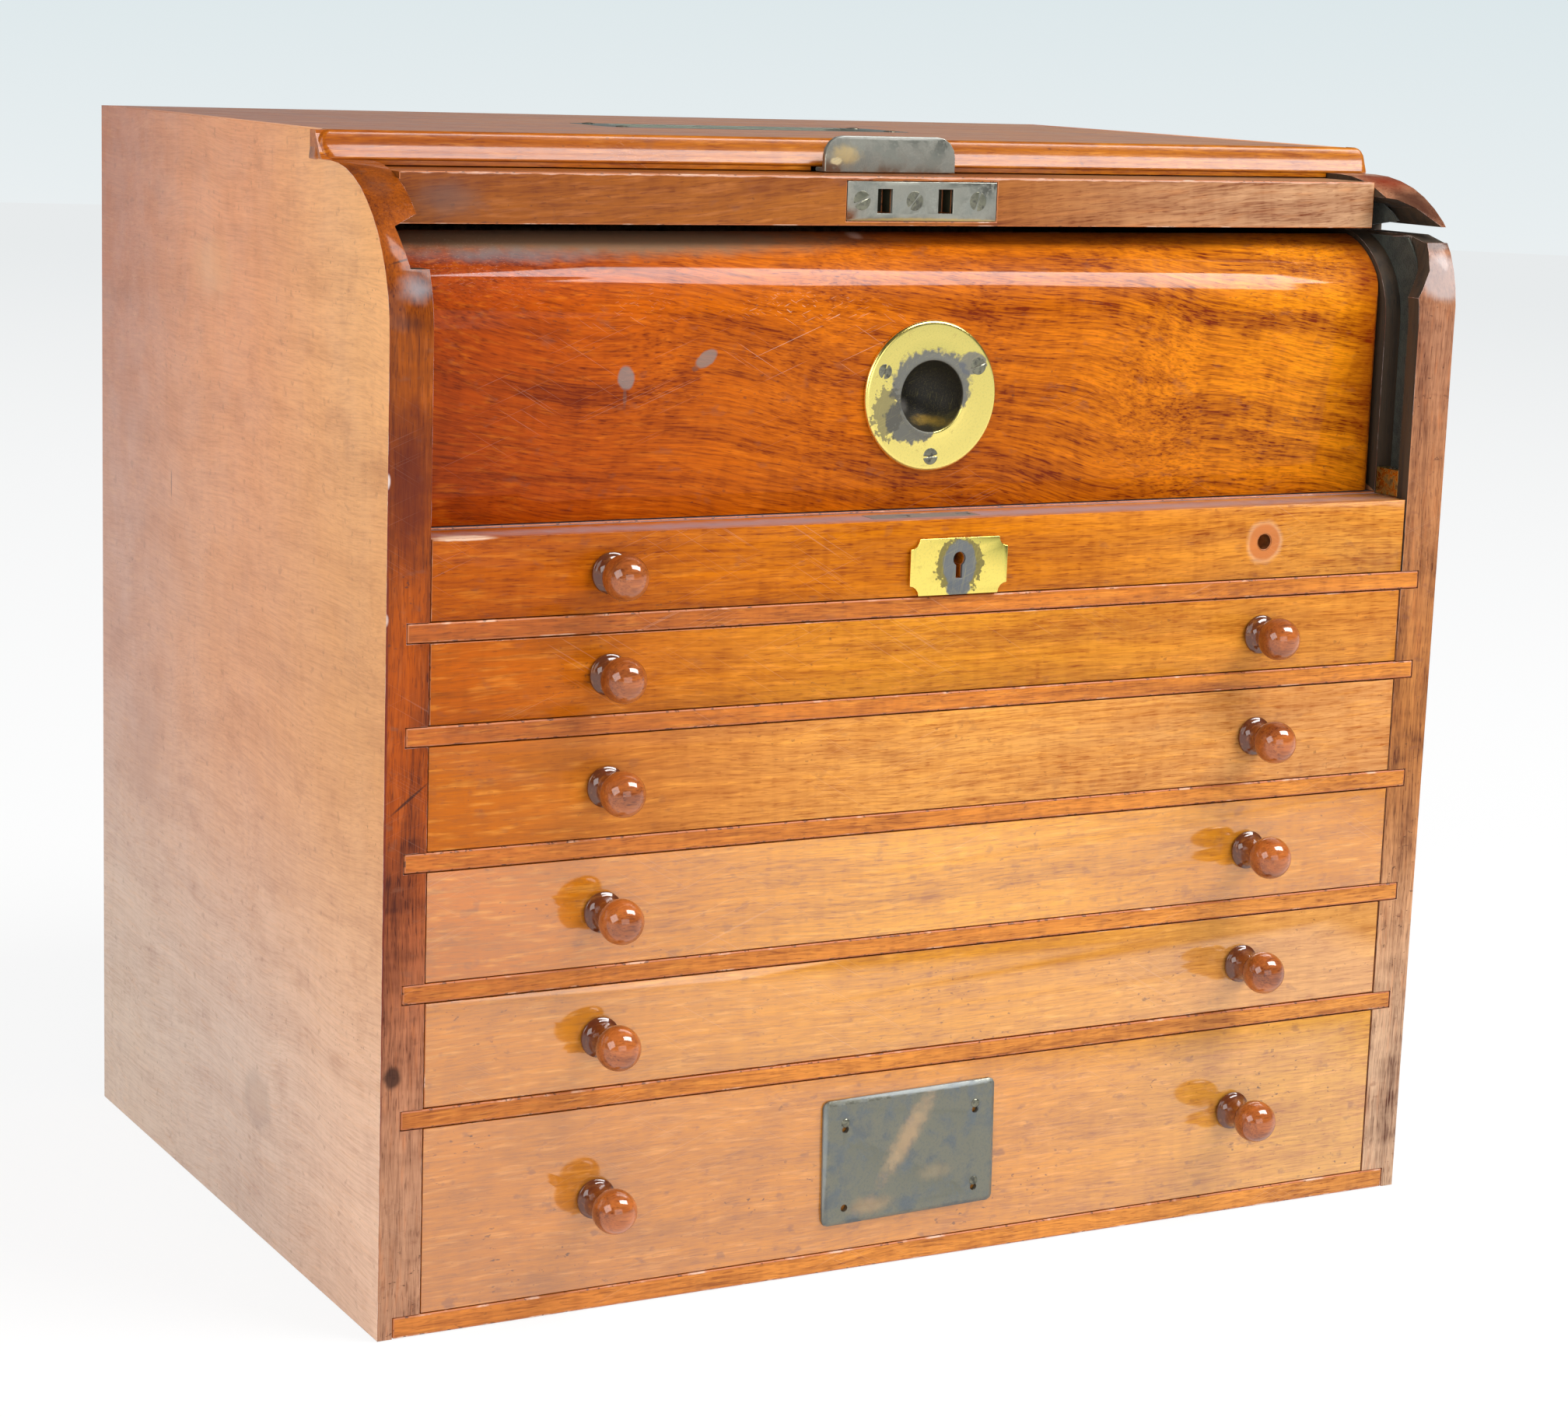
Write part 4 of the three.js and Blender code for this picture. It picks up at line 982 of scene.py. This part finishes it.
@dataclass
class Studio:
    """The camera at the photograph's place, the pale floor, the sky and the soft lights.

    Attributes:
        eye: The camera's place in millimetres.
        yaw: Turn about the upright, in degrees.
        pitch: Downward tilt in degrees.
        roll: Turn about the view's own line, in degrees.
        focal: Focal length in pixels.
        frame_width: Width of the photograph in pixels.
        target: The point that the lights face, in millimetres.
    """

    eye: tuple[float, float, float] = (-606.9, -1138.4, 416.2)
    yaw: float = -28.64
    pitch: float = 10.89
    roll: float = 1.96
    focal: float = 4532.49
    frame_width: int = 2016
    target: tuple[float, float, float] = (0, 0, 190)

    def camera(self) -> None:
        """Places the camera: it looks along its yaw and pitch, then rolls about that line."""
        yaw, pitch, roll = (math.radians(a) for a in (self.yaw, self.pitch, self.roll))
        ahead = Vector((-math.sin(yaw) * math.cos(pitch), math.cos(yaw) * math.cos(pitch), -math.sin(pitch)))
        right = ahead.cross(Vector((0, 0, 1))).normalized()
        up = right.cross(ahead)
        level = right * math.cos(roll) + up * math.sin(roll)
        upright = up * math.cos(roll) - right * math.sin(roll)
        lens = bpy.data.cameras.new("studio_camera")
        lens.sensor_fit = "HORIZONTAL"
        lens.sensor_width = 36.0
        lens.lens = lens.sensor_width * self.focal / self.frame_width
        lens.clip_start = 0.05
        holder = bpy.data.objects.new("studio_camera", lens)
        bpy.context.collection.objects.link(holder)
        turn = Matrix((level, upright, -ahead)).transposed().to_4x4()
        holder.matrix_world = Matrix.Translation(Vector(self.eye) * MM) @ turn
        bpy.context.scene.camera = holder

    def lamp(self, name: str, place: tuple[float, float, float], size: tuple[float, float],
             power: float) -> None:
        """Hangs a soft white light that faces the cabinet's middle, its first side as near to x as it
        can be.

        Args:
            name: The light's name.
            place: Its place in millimetres.
            size: Its sides in millimetres.
            power: Its power in watts.
        """
        light = bpy.data.lights.new(name, "AREA")
        light.shape = "RECTANGLE"
        light.size, light.size_y = size[0] * MM, size[1] * MM
        light.energy = power
        holder = bpy.data.objects.new(name, light)
        bpy.context.collection.objects.link(holder)
        back = (Vector(place) - Vector(self.target)).normalized()
        across = (Vector((1, 0, 0)) - back * back.x).normalized()
        turn = Matrix((across, back.cross(across), back)).transposed().to_4x4()
        holder.matrix_world = Matrix.Translation(Vector(place) * MM) @ turn

    def sky(self) -> None:
        """Makes a pale band round the horizon that is bluer above it, under a dimmer ceiling."""
        world = bpy.data.worlds.new("studio_sky")
        bpy.context.scene.world = world
        world.use_nodes = True
        tree = world.node_tree
        shade = tree.nodes["Background"]
        feed(tree, shade, {"Strength": 0.5, "Color": linear("#f4f8fc")})
        height = add_node(tree, "SeparateXYZ", {0: add_node(tree, "TexCoord", {}, "Generated")}, "Z")
        colour = linear("#f0f3f4")
        for low, high, above in ((-0.09, 0.02, "#dce7ea"), (0.03, 0.16, "#3e4244")):
            step = add_node(tree, "MapRange", {"Value": height, "From Min": low, "From Max": high})
            colour = add_node(tree, "Mix", {0: step, 6: colour, 7: linear(above)}, 2, data_type="RGBA")
        seen = add_node(tree, "Background", {"Color": colour, "Strength": 1.0})
        mix = add_node(tree, "MixShader", {0: self.direct_rays(tree), 1: shade.outputs[0], 2: seen})
        tree.links.new(mix, tree.nodes["World Output"].inputs[0])

    def direct_rays(self, tree: bpy.types.NodeTree) -> bpy.types.NodeSocket:
        """Tells rays that see a surface from rays that light the object by it.

        Args:
            tree: The node tree.

        Returns:
            1 for a ray from the camera, from a mirror or through a clear body, and 0 for others.
        """
        camera = add_node(tree, "LightPath", {}, "Is Camera Ray")
        rays = camera
        for name in ("Is Transmission Ray", "Is Glossy Ray"):
            rays = add_node(tree, "Math", {0: rays, 1: camera.node.outputs[name]}, operation="MAXIMUM")
        return rays

    def floor(self) -> None:
        """Lays a pale floor of flat rings, which fades to the sky's colour from 0.6 m to 5.5 m away and
        keeps a faint shadow."""
        turn = np.linspace(0, 2 * np.pi, 96, endpoint=False)
        radius = np.array([0, 300, 900, 2200, 4000, 6500.0])[:, None]
        level = np.full((len(radius), len(turn)), -0.3)
        points = np.stack([radius * np.cos(turn), radius * np.sin(turn), level], axis=-1)
        ground = new_piece("studio_floor", points.reshape(-1, 3), grid_faces(*level.shape, True))
        material, shader, plain = start_material("studio_paper")
        tree = material.node_tree
        length = plain.add("VectorMath", {0: plain.coords}, "Value", operation="LENGTH")
        far = plain.add("MapRange", {"Value": length, "From Min": 0.6, "From Max": 5.5},
                        interpolation_type="SMOOTHSTEP")
        tint = plain.painted(linear("#ffffff"), (far, 1.0, "#f0f3f4"))
        feed(tree, shader, {"Base Color": linear("#f2f2f0"), "Roughness": 0.9, "Specular IOR Level": 0.1})
        glow = plain.add("Emission", {"Color": tint, "Strength": 1.0})
        # The rest of a direct ray sees the paper itself, which keeps the shadow
        part = plain.add("Math", {0: self.direct_rays(tree), 1: 0.86}, operation="MULTIPLY")
        mix = plain.add("MixShader", {0: part, 1: shader.outputs[0], 2: glow})
        tree.links.new(mix, tree.nodes["Material Output"].inputs[0])
        ground.data.materials.append(material)

    def build(self) -> None:
        """Sets the whole studio."""
        bpy.context.scene.view_settings.view_transform = "Standard"
        self.camera()
        self.sky()
        self.floor()
        self.lamp("key_light", (970, -950, 1680), (1450, 680), 43)
        self.lamp("side_light", (-1900, -900, 1100), (1300, 1300), 19)
        self.lamp("front_light", (-300, -2300, 700), (1600, 1000), 8)


@dataclass
class Carcass:
    """The case: two sides, top, base, back, dividers, and what lines and stops the grooves.

    Attributes:
        arris: Width of a worn arris in millimetres.
        dividers: How many dividers stand between the thin drawers.
        stop_place: The top of a groove stop: from the middle, from the front edges, and its height.
    """

    arris: float = 1.1
    dividers: int = 5
    stop_place: tuple[float, float, float] = (191.75, 12.5, 268.2)

    def build(self) -> None:
        """Builds every piece of the case and dresses it."""
        stile_arris, arris = Finish.STILE_ARRIS.material(), Finish.ARRIS.material()
        for side in ("left", "right"):
            board = softened(f"side_{side}", self.arris, Finish.SIDE.material(), stile_arris)
            for finish in (Finish.STILE, Finish.INSIDE, Finish.GROOVE_DARK):
                board.data.materials.append(finish.material())
            self.split(board)
            if side == "right":
                self.splinter(board)
            settle(board, "carcass")
        edge = Finish.DIVIDER_ARRIS.material()
        for number in range(1, self.dividers + 1):
            settle(softened(f"divider_{number}", 0.6, Finish.DIVIDER.material(), edge), "carcass")
        self.nose()
        self.nose_fillets()
        for board in (softened("top_board", 0.6, Finish.TOP.material(), arris, smooth=False),
                      softened("base_board", 0.6, Finish.DIVIDER.material(), arris),
                      softened("deep_board", 0.4, Finish.LEDGE.material(), edge),
                      softened("back_board", 0.5, Finish.BACK.material())):
            settle(board, "carcass")
        for side, way in (("left", -1), ("right", 1)):
            stop = softened(f"groove_stop_{side}", 0.3, Finish.STOP_BRASS.material())
            settle(stop, "carcass")
            place = (way * self.stop_place[0], FRONT + self.stop_place[1], self.stop_place[2])
            screw = Screw(f"stop_screw_{side}", place, 2.0, 0.4, (0, 0, 1), 35.0, 0.5)
            settle(screw.build(), "carcass", Finish.STEEL.material())
        dress("groove_lining_left", Finish.BAIZE.material())
        self.broken_lining()
        pan = softened("handle_pan", 0.25, Finish.DARK_BRASS.material(), segments=2, smooth=False)
        settle(pan, "carcass")

    def split(self, board: bpy.types.Object) -> None:
        """Gives a side board's front edge the stile's finish, its inner face the bare one, and the faces
        in and beside the groove's front part a dark one.

        Args:
            board: The side board, whose faces are sorted by the way that they face.
        """
        faces = board.data.polygons
        normals = np.empty(len(faces) * 3)
        centres = np.empty(len(faces) * 3)
        faces.foreach_get("normal", normals)
        faces.foreach_get("center", centres)
        outward = normals[::3] * np.sign(centres[::3])
        x, y, z = np.abs(centres[::3]) / MM, centres[1::3] / MM, centres[2::3] / MM
        side, stile, bare, darkened = 0, 2, 3, 4
        inward = outward < -0.5
        edge = (np.abs(outward) < 0.5) & (y < 0)
        index = np.where(inward, bare, np.where(edge, stile, side))
        # Faces between the board's inner face and the groove's floor, round the groove's front part
        by_groove = (x > 188) & (x < 199.5) & (y < -90) & (z > 256)
        within = np.hypot(y - CORNER_CENTRE_Y, z - CORNER_CENTRE_Z) < CORNER_RADIUS - 2.3
        index = np.where(by_groove & (inward | ~edge | within), darkened, index)
        faces.foreach_set("material_index", index.astype(np.int32))

    def splinter(self, board: bpy.types.Object) -> None:
        """Draws the broken right corner out: the bite under the upper splinter becomes a quarter ellipse,
        the outer points move up to 3 mm outwards as they near the break, and the splinter's points move
        up to 3 mm forwards as they near its tip.

        Args:
            board: The right side board, before its arrises are worn.
        """
        points = np.empty(len(board.data.vertices) * 3)
        board.data.vertices.foreach_get("co", points)
        points = points.reshape(-1, 3) / MM
        x, y, z = points.T
        inner_face, break_foot, old_width, new_width, bite_rise, reach = 188.5, 354.8, 9.5, 12.6, 9.6, 3.0
        bitten = (x < 199) & (z > 354) & (z < 363.2) & (y < FRONT + 36.5)
        off_arc = np.abs(np.hypot(y - CORNER_CENTRE_Y, z - CORNER_CENTRE_Z) - CORNER_RADIUS)
        share = np.clip((x - inner_face) / old_width, 0, 1)
        points[:, 0] = np.where(bitten, inner_face + new_width * share, x)
        points[:, 2] = np.where(bitten, break_foot + bite_rise * np.sqrt(1 - share ** 2), z)
        lift = np.clip(CORNER_RADIUS ** 2 - (points[:, 2] - CORNER_CENTRE_Z) ** 2, 0, None)
        points[:, 1] = np.where(bitten & (off_arc < 0.4), CORNER_CENTRE_Y - np.sqrt(lift), y)
        near_break = np.clip((points[:, 2] - 300) / 45, 0, 1) * np.clip((-70 - points[:, 1]) / 40, 0, 1)
        points[:, 0] += np.where(points[:, 0] > 200, reach * near_break, 0)
        points[:, 1] -= reach * np.clip((-100 - points[:, 1]) / 28, 0, 1) * (points[:, 2] > 354)
        board.data.vertices.foreach_set("co", (points * MM).ravel())
        board.data.update()

    def broken_lining(self) -> None:
        """Parts the right groove's lining at the break, so that light shows through: one piece is kept
        below a level cut, the other above a cut that slopes back through the break."""
        source = frame["nodes"]["groove_lining_right"]
        for name, place, facing in (("below", (0, FRONT + 20, 350.6), (0, 0, 1)),
                                    ("above", (0, FRONT + 23.2, 356.4), (0, -3.7, -23.7))):
            shape = bmesh.new()
            shape.from_mesh(source.data)
            bmesh.ops.remove_doubles(shape, verts=shape.verts, dist=1e-6)
            cut = bmesh.ops.bisect_plane(shape, geom=[*shape.verts, *shape.edges, *shape.faces],
                                         plane_co=Vector(place) * MM, plane_no=facing, clear_outer=True)
            rim = [item for item in cut["geom_cut"] if isinstance(item, bmesh.types.BMEdge)]
            bmesh.ops.holes_fill(shape, edges=rim, sides=0)
            mesh = bpy.data.meshes.new(f"lining_{name}_break")
            shape.to_mesh(mesh)
            shape.free()
            piece = bpy.data.objects.new(mesh.name, mesh)
            bpy.context.collection.objects.link(piece)
            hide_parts("groove_lining_right")
            settle(piece, "carcass", Finish.BAIZE.material())

    def nose(self) -> None:
        """Lays the top's moulded nose over its plain one.

        The nose is a profile carried round the front and both ends of a rectangle. At a depth d behind
        the outermost line the rectangle is d smaller in front, its corners have a radius of R - d, and its
        ends draw in by a quarter round at the top.
        """
        left, right, near, back, radius = -203.4, 208.4, FRONT + 58.3, FRONT + 68.6, 5.2
        spring, quarter, drawn_in = 376.0, 4.7, 4.4
        profile = np.array([[5.0, 371.3], [0.7, 371.3], [0.15, 371.5], [0.0, 371.9], [0.2, 372.4],
                            [1.3, 374.0], [2.3, 375.5], [2.65, 376.2], [3.1, 377.8], [3.55, 379.4],
                            [4.0, 380.2], [4.7, 380.62], [5.0, 380.65], [5.0, 371.3]])
        depth, height = profile[:, :1], profile[:, 1:]
        small = np.maximum(radius - depth, 0.25)
        climb = np.clip((height - spring) / quarter, 0, 1)
        ends = drawn_in * (1 - np.sqrt(1 - climb ** 2)) + 0.2 * depth
        swing = np.radians(np.linspace(0, 90, 9))
        across = np.linspace(0, 1, 40)[1:-1]
        x_right, x_left, y_near = right - ends, left + ends, near + depth
        x = np.concatenate([x_right, x_right - small + small * np.cos(swing),
                            x_right - small + (x_left - x_right + 2 * small) * across,
                            x_left + small - small * np.sin(swing), x_left], axis=1)
        y = np.concatenate([back + 0 * depth, y_near + small - small * np.sin(swing),
                            y_near + 0 * depth * across, y_near + small - small * np.cos(swing),
                            back + 0 * depth], axis=1)
        points = np.stack([x, y, height + 0 * x], axis=-1)
        caps = points[:, [0, -1]].mean(axis=0, keepdims=True) * np.ones_like(points[:, :1])
        points = np.concatenate([caps[:, :1], points, caps[:, 1:]], axis=1)
        faces = grid_faces(*points.shape[:2], False)
        moulding = new_piece("nose_moulding", points.reshape(-1, 3), faces)
        settle(moulding, "carcass", Finish.TOP.material())

    def nose_fillets(self) -> None:
        """Closes the slit under the nose on both sides of the lug. Each strip carries a circle that is
        stretched and cut flat on its four sides along x, and it closes to a point at both ends."""
        inner, outer, middle_y, half_y, middle_z, half_z = 27.2, 188.2, FRONT + 63.4, 4.8, 370.7, 0.82
        turn = np.linspace(0, 2 * np.pi, 24, endpoint=False)
        share = np.array([0.0, 0.9, 1.0, 1.0, 0.9, 0.0])[:, None]
        for name, start, end in (("left", -outer, -inner), ("right", inner, outer)):
            stations = np.array([start, start, start + 0.4, end - 0.4, end, end])[:, None]
            section = np.stack([stations + 0 * turn,
                                middle_y + half_y * share * np.clip(1.6 * np.cos(turn), -1, 1),
                                middle_z + half_z * share * np.clip(1.6 * np.sin(turn), -1, 1)], axis=-1)
            fillet = new_piece(f"nose_fillet_{name}", section.reshape(-1, 3), grid_faces(6, 24, True))
            settle(fillet, "carcass", Finish.TOP.material())


@dataclass
class RollFront:
    """The shutter: its leading rail with keeper plate and lug, its slats and their canvas.

    Attributes:
        slats: How many slats follow the rail.
        bodies: The body that each slat rides on.
        rail_face: Depth of the rail's front face behind the front edges, in millimetres.
        screw_height: Height of the keeper's screws.
        screw_places: Where they sit along x.
    """

    slats: int = 9
    bodies: tuple[str, ...] = ("rail", "rail", "slat_3", "slat_4", "slat_5", "slat_6", "slat_7", "slats_8_9",
                               "slats_8_9")
    rail_face: float = 30.0
    screw_height: float = 361.5
    screw_places: tuple[float, ...] = (-23.4, -3.1, 21.6)

    def build(self) -> None:
        """Builds the rail, its brass and the slats."""
        arris = Finish.ARRIS.material()
        settle(softened("shutter_rail", 0.8, Finish.RAIL.material(), arris), "rail")
        settle(softened("keeper_plate", 0.25, Finish.LUG_BRASS.material(), segments=2), "rail")
        settle(softened("lifting_lug", 0.4, Finish.LUG_BRASS.material()), "rail")
        # The heads stand almost flush, because the closed rail passes close behind the lock
        sunk = FRONT + self.rail_face + 0.08
        for number, x in enumerate(self.screw_places, 1):
            screw = Screw(f"keeper_screw_{number}", (x, sunk, self.screw_height), 3.2, 0.3,
                          slot_angle=25.0 * number)
            settle(screw.build(), "rail", Finish.DULL_SCREW.material())
        for number in range(1, self.slats + 1):
            slat = softened(f"slat_{number}", 0.3, Finish.SLAT.material(), arris, segments=2)
            settle(slat, self.bodies[number - 1])
            self.canvas(number)

    def canvas(self, number: int) -> None:
        """Glues a strip of canvas under one slat: a flat section with round edges carried along x, whose
        height wanders by a tenth of a millimetre where the glue is thicker.

        Args:
            number: The slat's number.
        """
        low, high = (np.array(corner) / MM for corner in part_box(f"slat_{number}"))
        reach, thick, wander = 178, 0.35, 0.1
        turn = np.linspace(0, 2 * np.pi, 20, endpoint=False)
        x = np.linspace(-reach, reach, 60)[:, None]
        share = np.clip((reach + 0.001 - np.abs(x)) / 0.5, 0, 1)
        middle, half = (low[1] + high[1]) / 2, (high[1] - low[1]) / 2 - 0.4
        bow = np.sign(np.cos(turn)) * np.abs(np.cos(turn)) ** 0.4
        glue = wander * np.sin(x / 7 + number) * (np.sin(turn) < 0)
        height = low[2] - thick + (thick * np.sin(turn) + glue) * share
        points = np.stack([x + 0 * turn, middle + half * bow * share, height], axis=-1)
        strip = new_piece(f"canvas_strip_{number}", points.reshape(-1, 3), grid_faces(60, 20, True))
        settle(strip, self.bodies[number - 1], Finish.CANVAS.material())


@dataclass
class DeepDrawer:
    """The deep drawer with its rounded front and dished brass pull.

    Attributes:
        face: Depth of its front face behind the front edges, in millimetres.
        pull_height: Height of the pull's middle.
        screw_ring: Distance of the pull's screws from its middle.
        screws: Place round the ring, radius and slot angle of each screw.
    """

    face: float = 20.5
    pull_height: float = 297.2
    screw_ring: float = 20.3
    screws: tuple[tuple[float, float, float], ...] = ((155, 2.5, 70), (29, 2.9, 25), (271, 2.8, 5))

    def build(self) -> None:
        """Builds the front, the tray and the pull with its screws. The pull is a dished disc: its section is
        a quarter circle for the bowl, a low lip, an almost flat ring with a round edge, and a hollow back."""
        arris = Finish.ARRIS.material()
        settle(softened("deep_front", 0.9, Finish.DEEP.material(), arris), "deep_drawer")
        for node in ("deep_tray", "deep_tray_floor"):
            dress(node, Finish.TRAY.material())
        face = FRONT + self.face
        arc = np.radians(np.linspace(0, 90, 24))
        bowl = np.stack([12 * np.sin(arc), 1.7 - 12.0 * np.cos(arc)], axis=1)
        lip = np.array([[12.3, 1.98], [12.8, 2.04], [13.5, 1.86]])
        flat = np.array([[14.3, 1.73], [14.6, 1.7], [20.0, 1.66], [23.9, 1.62], [24.3, 1.6], [24.8, 1.48],
                         [25.3, 1.0], [25.5, 0.4], [25.5, -0.2]])
        under = np.stack([13.2 * np.sin(arc[::-1]), -0.2 - 11.0 * np.cos(arc[::-1])], axis=1)
        profile = np.concatenate([bowl, lip, flat, under])
        pull = lathe("dished_pull", profile, (0, face, self.pull_height), 96)
        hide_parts("finger_pull")
        settle(pull, "deep_drawer", Finish.PULL_BRASS.material())
        for number, (angle, radius, slot) in enumerate(self.screws, 1):
            x = self.screw_ring * math.cos(math.radians(angle))
            z = self.pull_height + self.screw_ring * math.sin(math.radians(angle))
            screw = Screw(f"pull_screw_{number}", (x, face - 1.6, z), radius, 0.4, slot_angle=slot)
            settle(screw.build(), "deep_drawer", Finish.DULL_SCREW.material())


@dataclass
class ThinDrawers:
    """The six thin drawers with their turned knobs, the lock and the blank name plate.

    Attributes:
        middles: Height of each drawer's middle, from the top one down.
        spacing: Distance between a drawer's knobs.
        reaches: How far each drawer's knobs stand out. The turner's lengths vary.
        finishes: Finish of each front.
    """

    middles: tuple[float, ...] = (245.6, 212.9, 176.35, 134.95, 93.1, 38.2)
    spacing: float = 254.0
    reaches: tuple[float, ...] = (18.9, 19.4, 20.8, 22.0, 22.2, 22.5)
    finishes: tuple[Finish, ...] = (Finish.FRONT_1, Finish.FRONT_2, Finish.FRONT_3, Finish.FRONT_4,
                                    Finish.FRONT_5, Finish.FRONT_6)

    def knob_profile(self, reach: float) -> np.ndarray:
        """The knob's radius at each height: a stem, a rounded collar, a hollow neck and a ball.

        Args:
            reach: Height of the ball's far end.

        Returns:
            N × 2 radius and height, where the neck is a quarter wave between collar and ball.
        """
        ball, waist = 7.45, 3.7
        stem = np.array([[0, -11.0], [2.5, -11.0], [2.5, 0.2], [6.2, 0.2], [6.5, 0.4]])
        edge = np.radians(np.linspace(-60, 60, 9))
        collar = np.stack([6.35 + 0.5 * np.cos(edge), 1.15 + 0.7 * np.sin(edge)], axis=1)
        middle = reach - ball
        start = math.asin(waist / ball)
        foot = middle - ball * math.cos(start)
        share = np.linspace(0, 1, 18)[1:]
        neck = np.stack([6.2 - (6.2 - waist) * np.sin(share * np.pi / 2),
                         1.95 + (foot - 1.95) * share ** 1.4], axis=1)
        angle = np.linspace(start, np.pi, 34)[:-1]
        head = np.stack([ball * np.sin(angle), middle - ball * np.cos(angle)], axis=1)
        return np.concatenate([stem, collar, neck, head[1:], [[0, reach]]])

    def build(self) -> None:
        """Builds every drawer and what it carries."""
        arris = Finish.ARRIS.material()
        for number, (middle, finish) in enumerate(zip(self.middles, self.finishes), 1):
            body = f"drawer_{number}"
            settle(softened(f"{body}_front", 0.8, finish.material(), arris), body)
            dress(f"{body}_tray", Finish.TRAY.material())
            for side, x in (("left", -self.spacing / 2), ("right", self.spacing / 2)):
                node = f"knob_{number}_{side}"
                if node in frame["nodes"]:
                    profile = self.knob_profile(self.reaches[number - 1])
                    knob = lathe(f"turned_{node}", profile, (x, FRONT + 0.3, middle), 72)
                    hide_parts(node)
                    settle(knob, body, Finish.KNOB.material())
        self.lock()
        self.name_plate()

    def lock(self) -> None:
        """Dresses the lock case, the bolt and the escutcheon."""
        dress("lock_case", Finish.IRON.material())
        dress("lock_bolt", Finish.IRON.material())
        shield = softened("escutcheon", 0.35, Finish.BRASS.material())
        settle(shield, "drawer_1")

    def name_plate(self) -> None:
        """Softens the blank plate and sets the three pins that are left in its four holes."""
        plate = softened("name_plate", 0.3, Finish.BRONZE.material())
        settle(plate, "drawer_6")
        profile = np.array([[0, -1.4], [1.25, -1.4], [1.25, 0.05], [1.6, 0.08], [1.55, 0.3], [1.1, 0.52],
                            [0.5, 0.62], [0, 0.64]])
        middle, tilt, across, up = (-8.4, 39.6), math.radians(1.2), 25.7, 14
        for number, (right, high) in enumerate(((-1, 1), (1, 1), (1, -1)), 1):
            x = middle[0] + right * across * math.cos(tilt) - high * up * math.sin(tilt)
            z = middle[1] + right * across * math.sin(tilt) + high * up * math.cos(tilt)
            pin = lathe(f"plate_pin_{number}", profile, (x, FRONT - 1.5, z), 32)
            settle(pin, "drawer_6", Finish.DULL_SCREW.material())


@dataclass
class CarryingHandle:
    """The bail let into the top, and the screws of its plate.

    Attributes:
        middle: The plate's middle, along x and y.
        reach: Distance of a screw from that middle, along x and y.
    """

    middle: tuple[float, float] = (0.0, 21.0)
    reach: tuple[float, float] = (55.0, 14.0)

    def build(self) -> None:
        """Dresses the bail and sets a screw in each corner of its plate."""
        dress("handle_bail", Finish.DARK_BRASS.material())
        frame["nodes"]["handle_bail"].data.shade_smooth()
        for number, (right, away) in enumerate(((-1, -1), (1, -1), (-1, 1), (1, 1)), 1):
            place = (self.middle[0] + right * self.reach[0], self.middle[1] + away * self.reach[1], TOP_FACE)
            screw = Screw(f"handle_screw_{number}", place, 2.4, 0.4, (0, 0, 1), 31.0 * number, 0.5)
            settle(screw.build(), "carcass", Finish.DULL_SCREW.material())


def main() -> None:
    """Builds the studio and the cabinet in order."""
    logging.basicConfig(level=logging.INFO, format="%(name)s: %(message)s")
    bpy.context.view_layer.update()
    for assembly in (Studio(), Carcass(), RollFront(), DeepDrawer(), ThinDrawers(), CarryingHandle()):
        assembly.build()
        LOG.info("%s is built", type(assembly).__name__)


if __name__ == "__main__":
    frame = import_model()
    main()
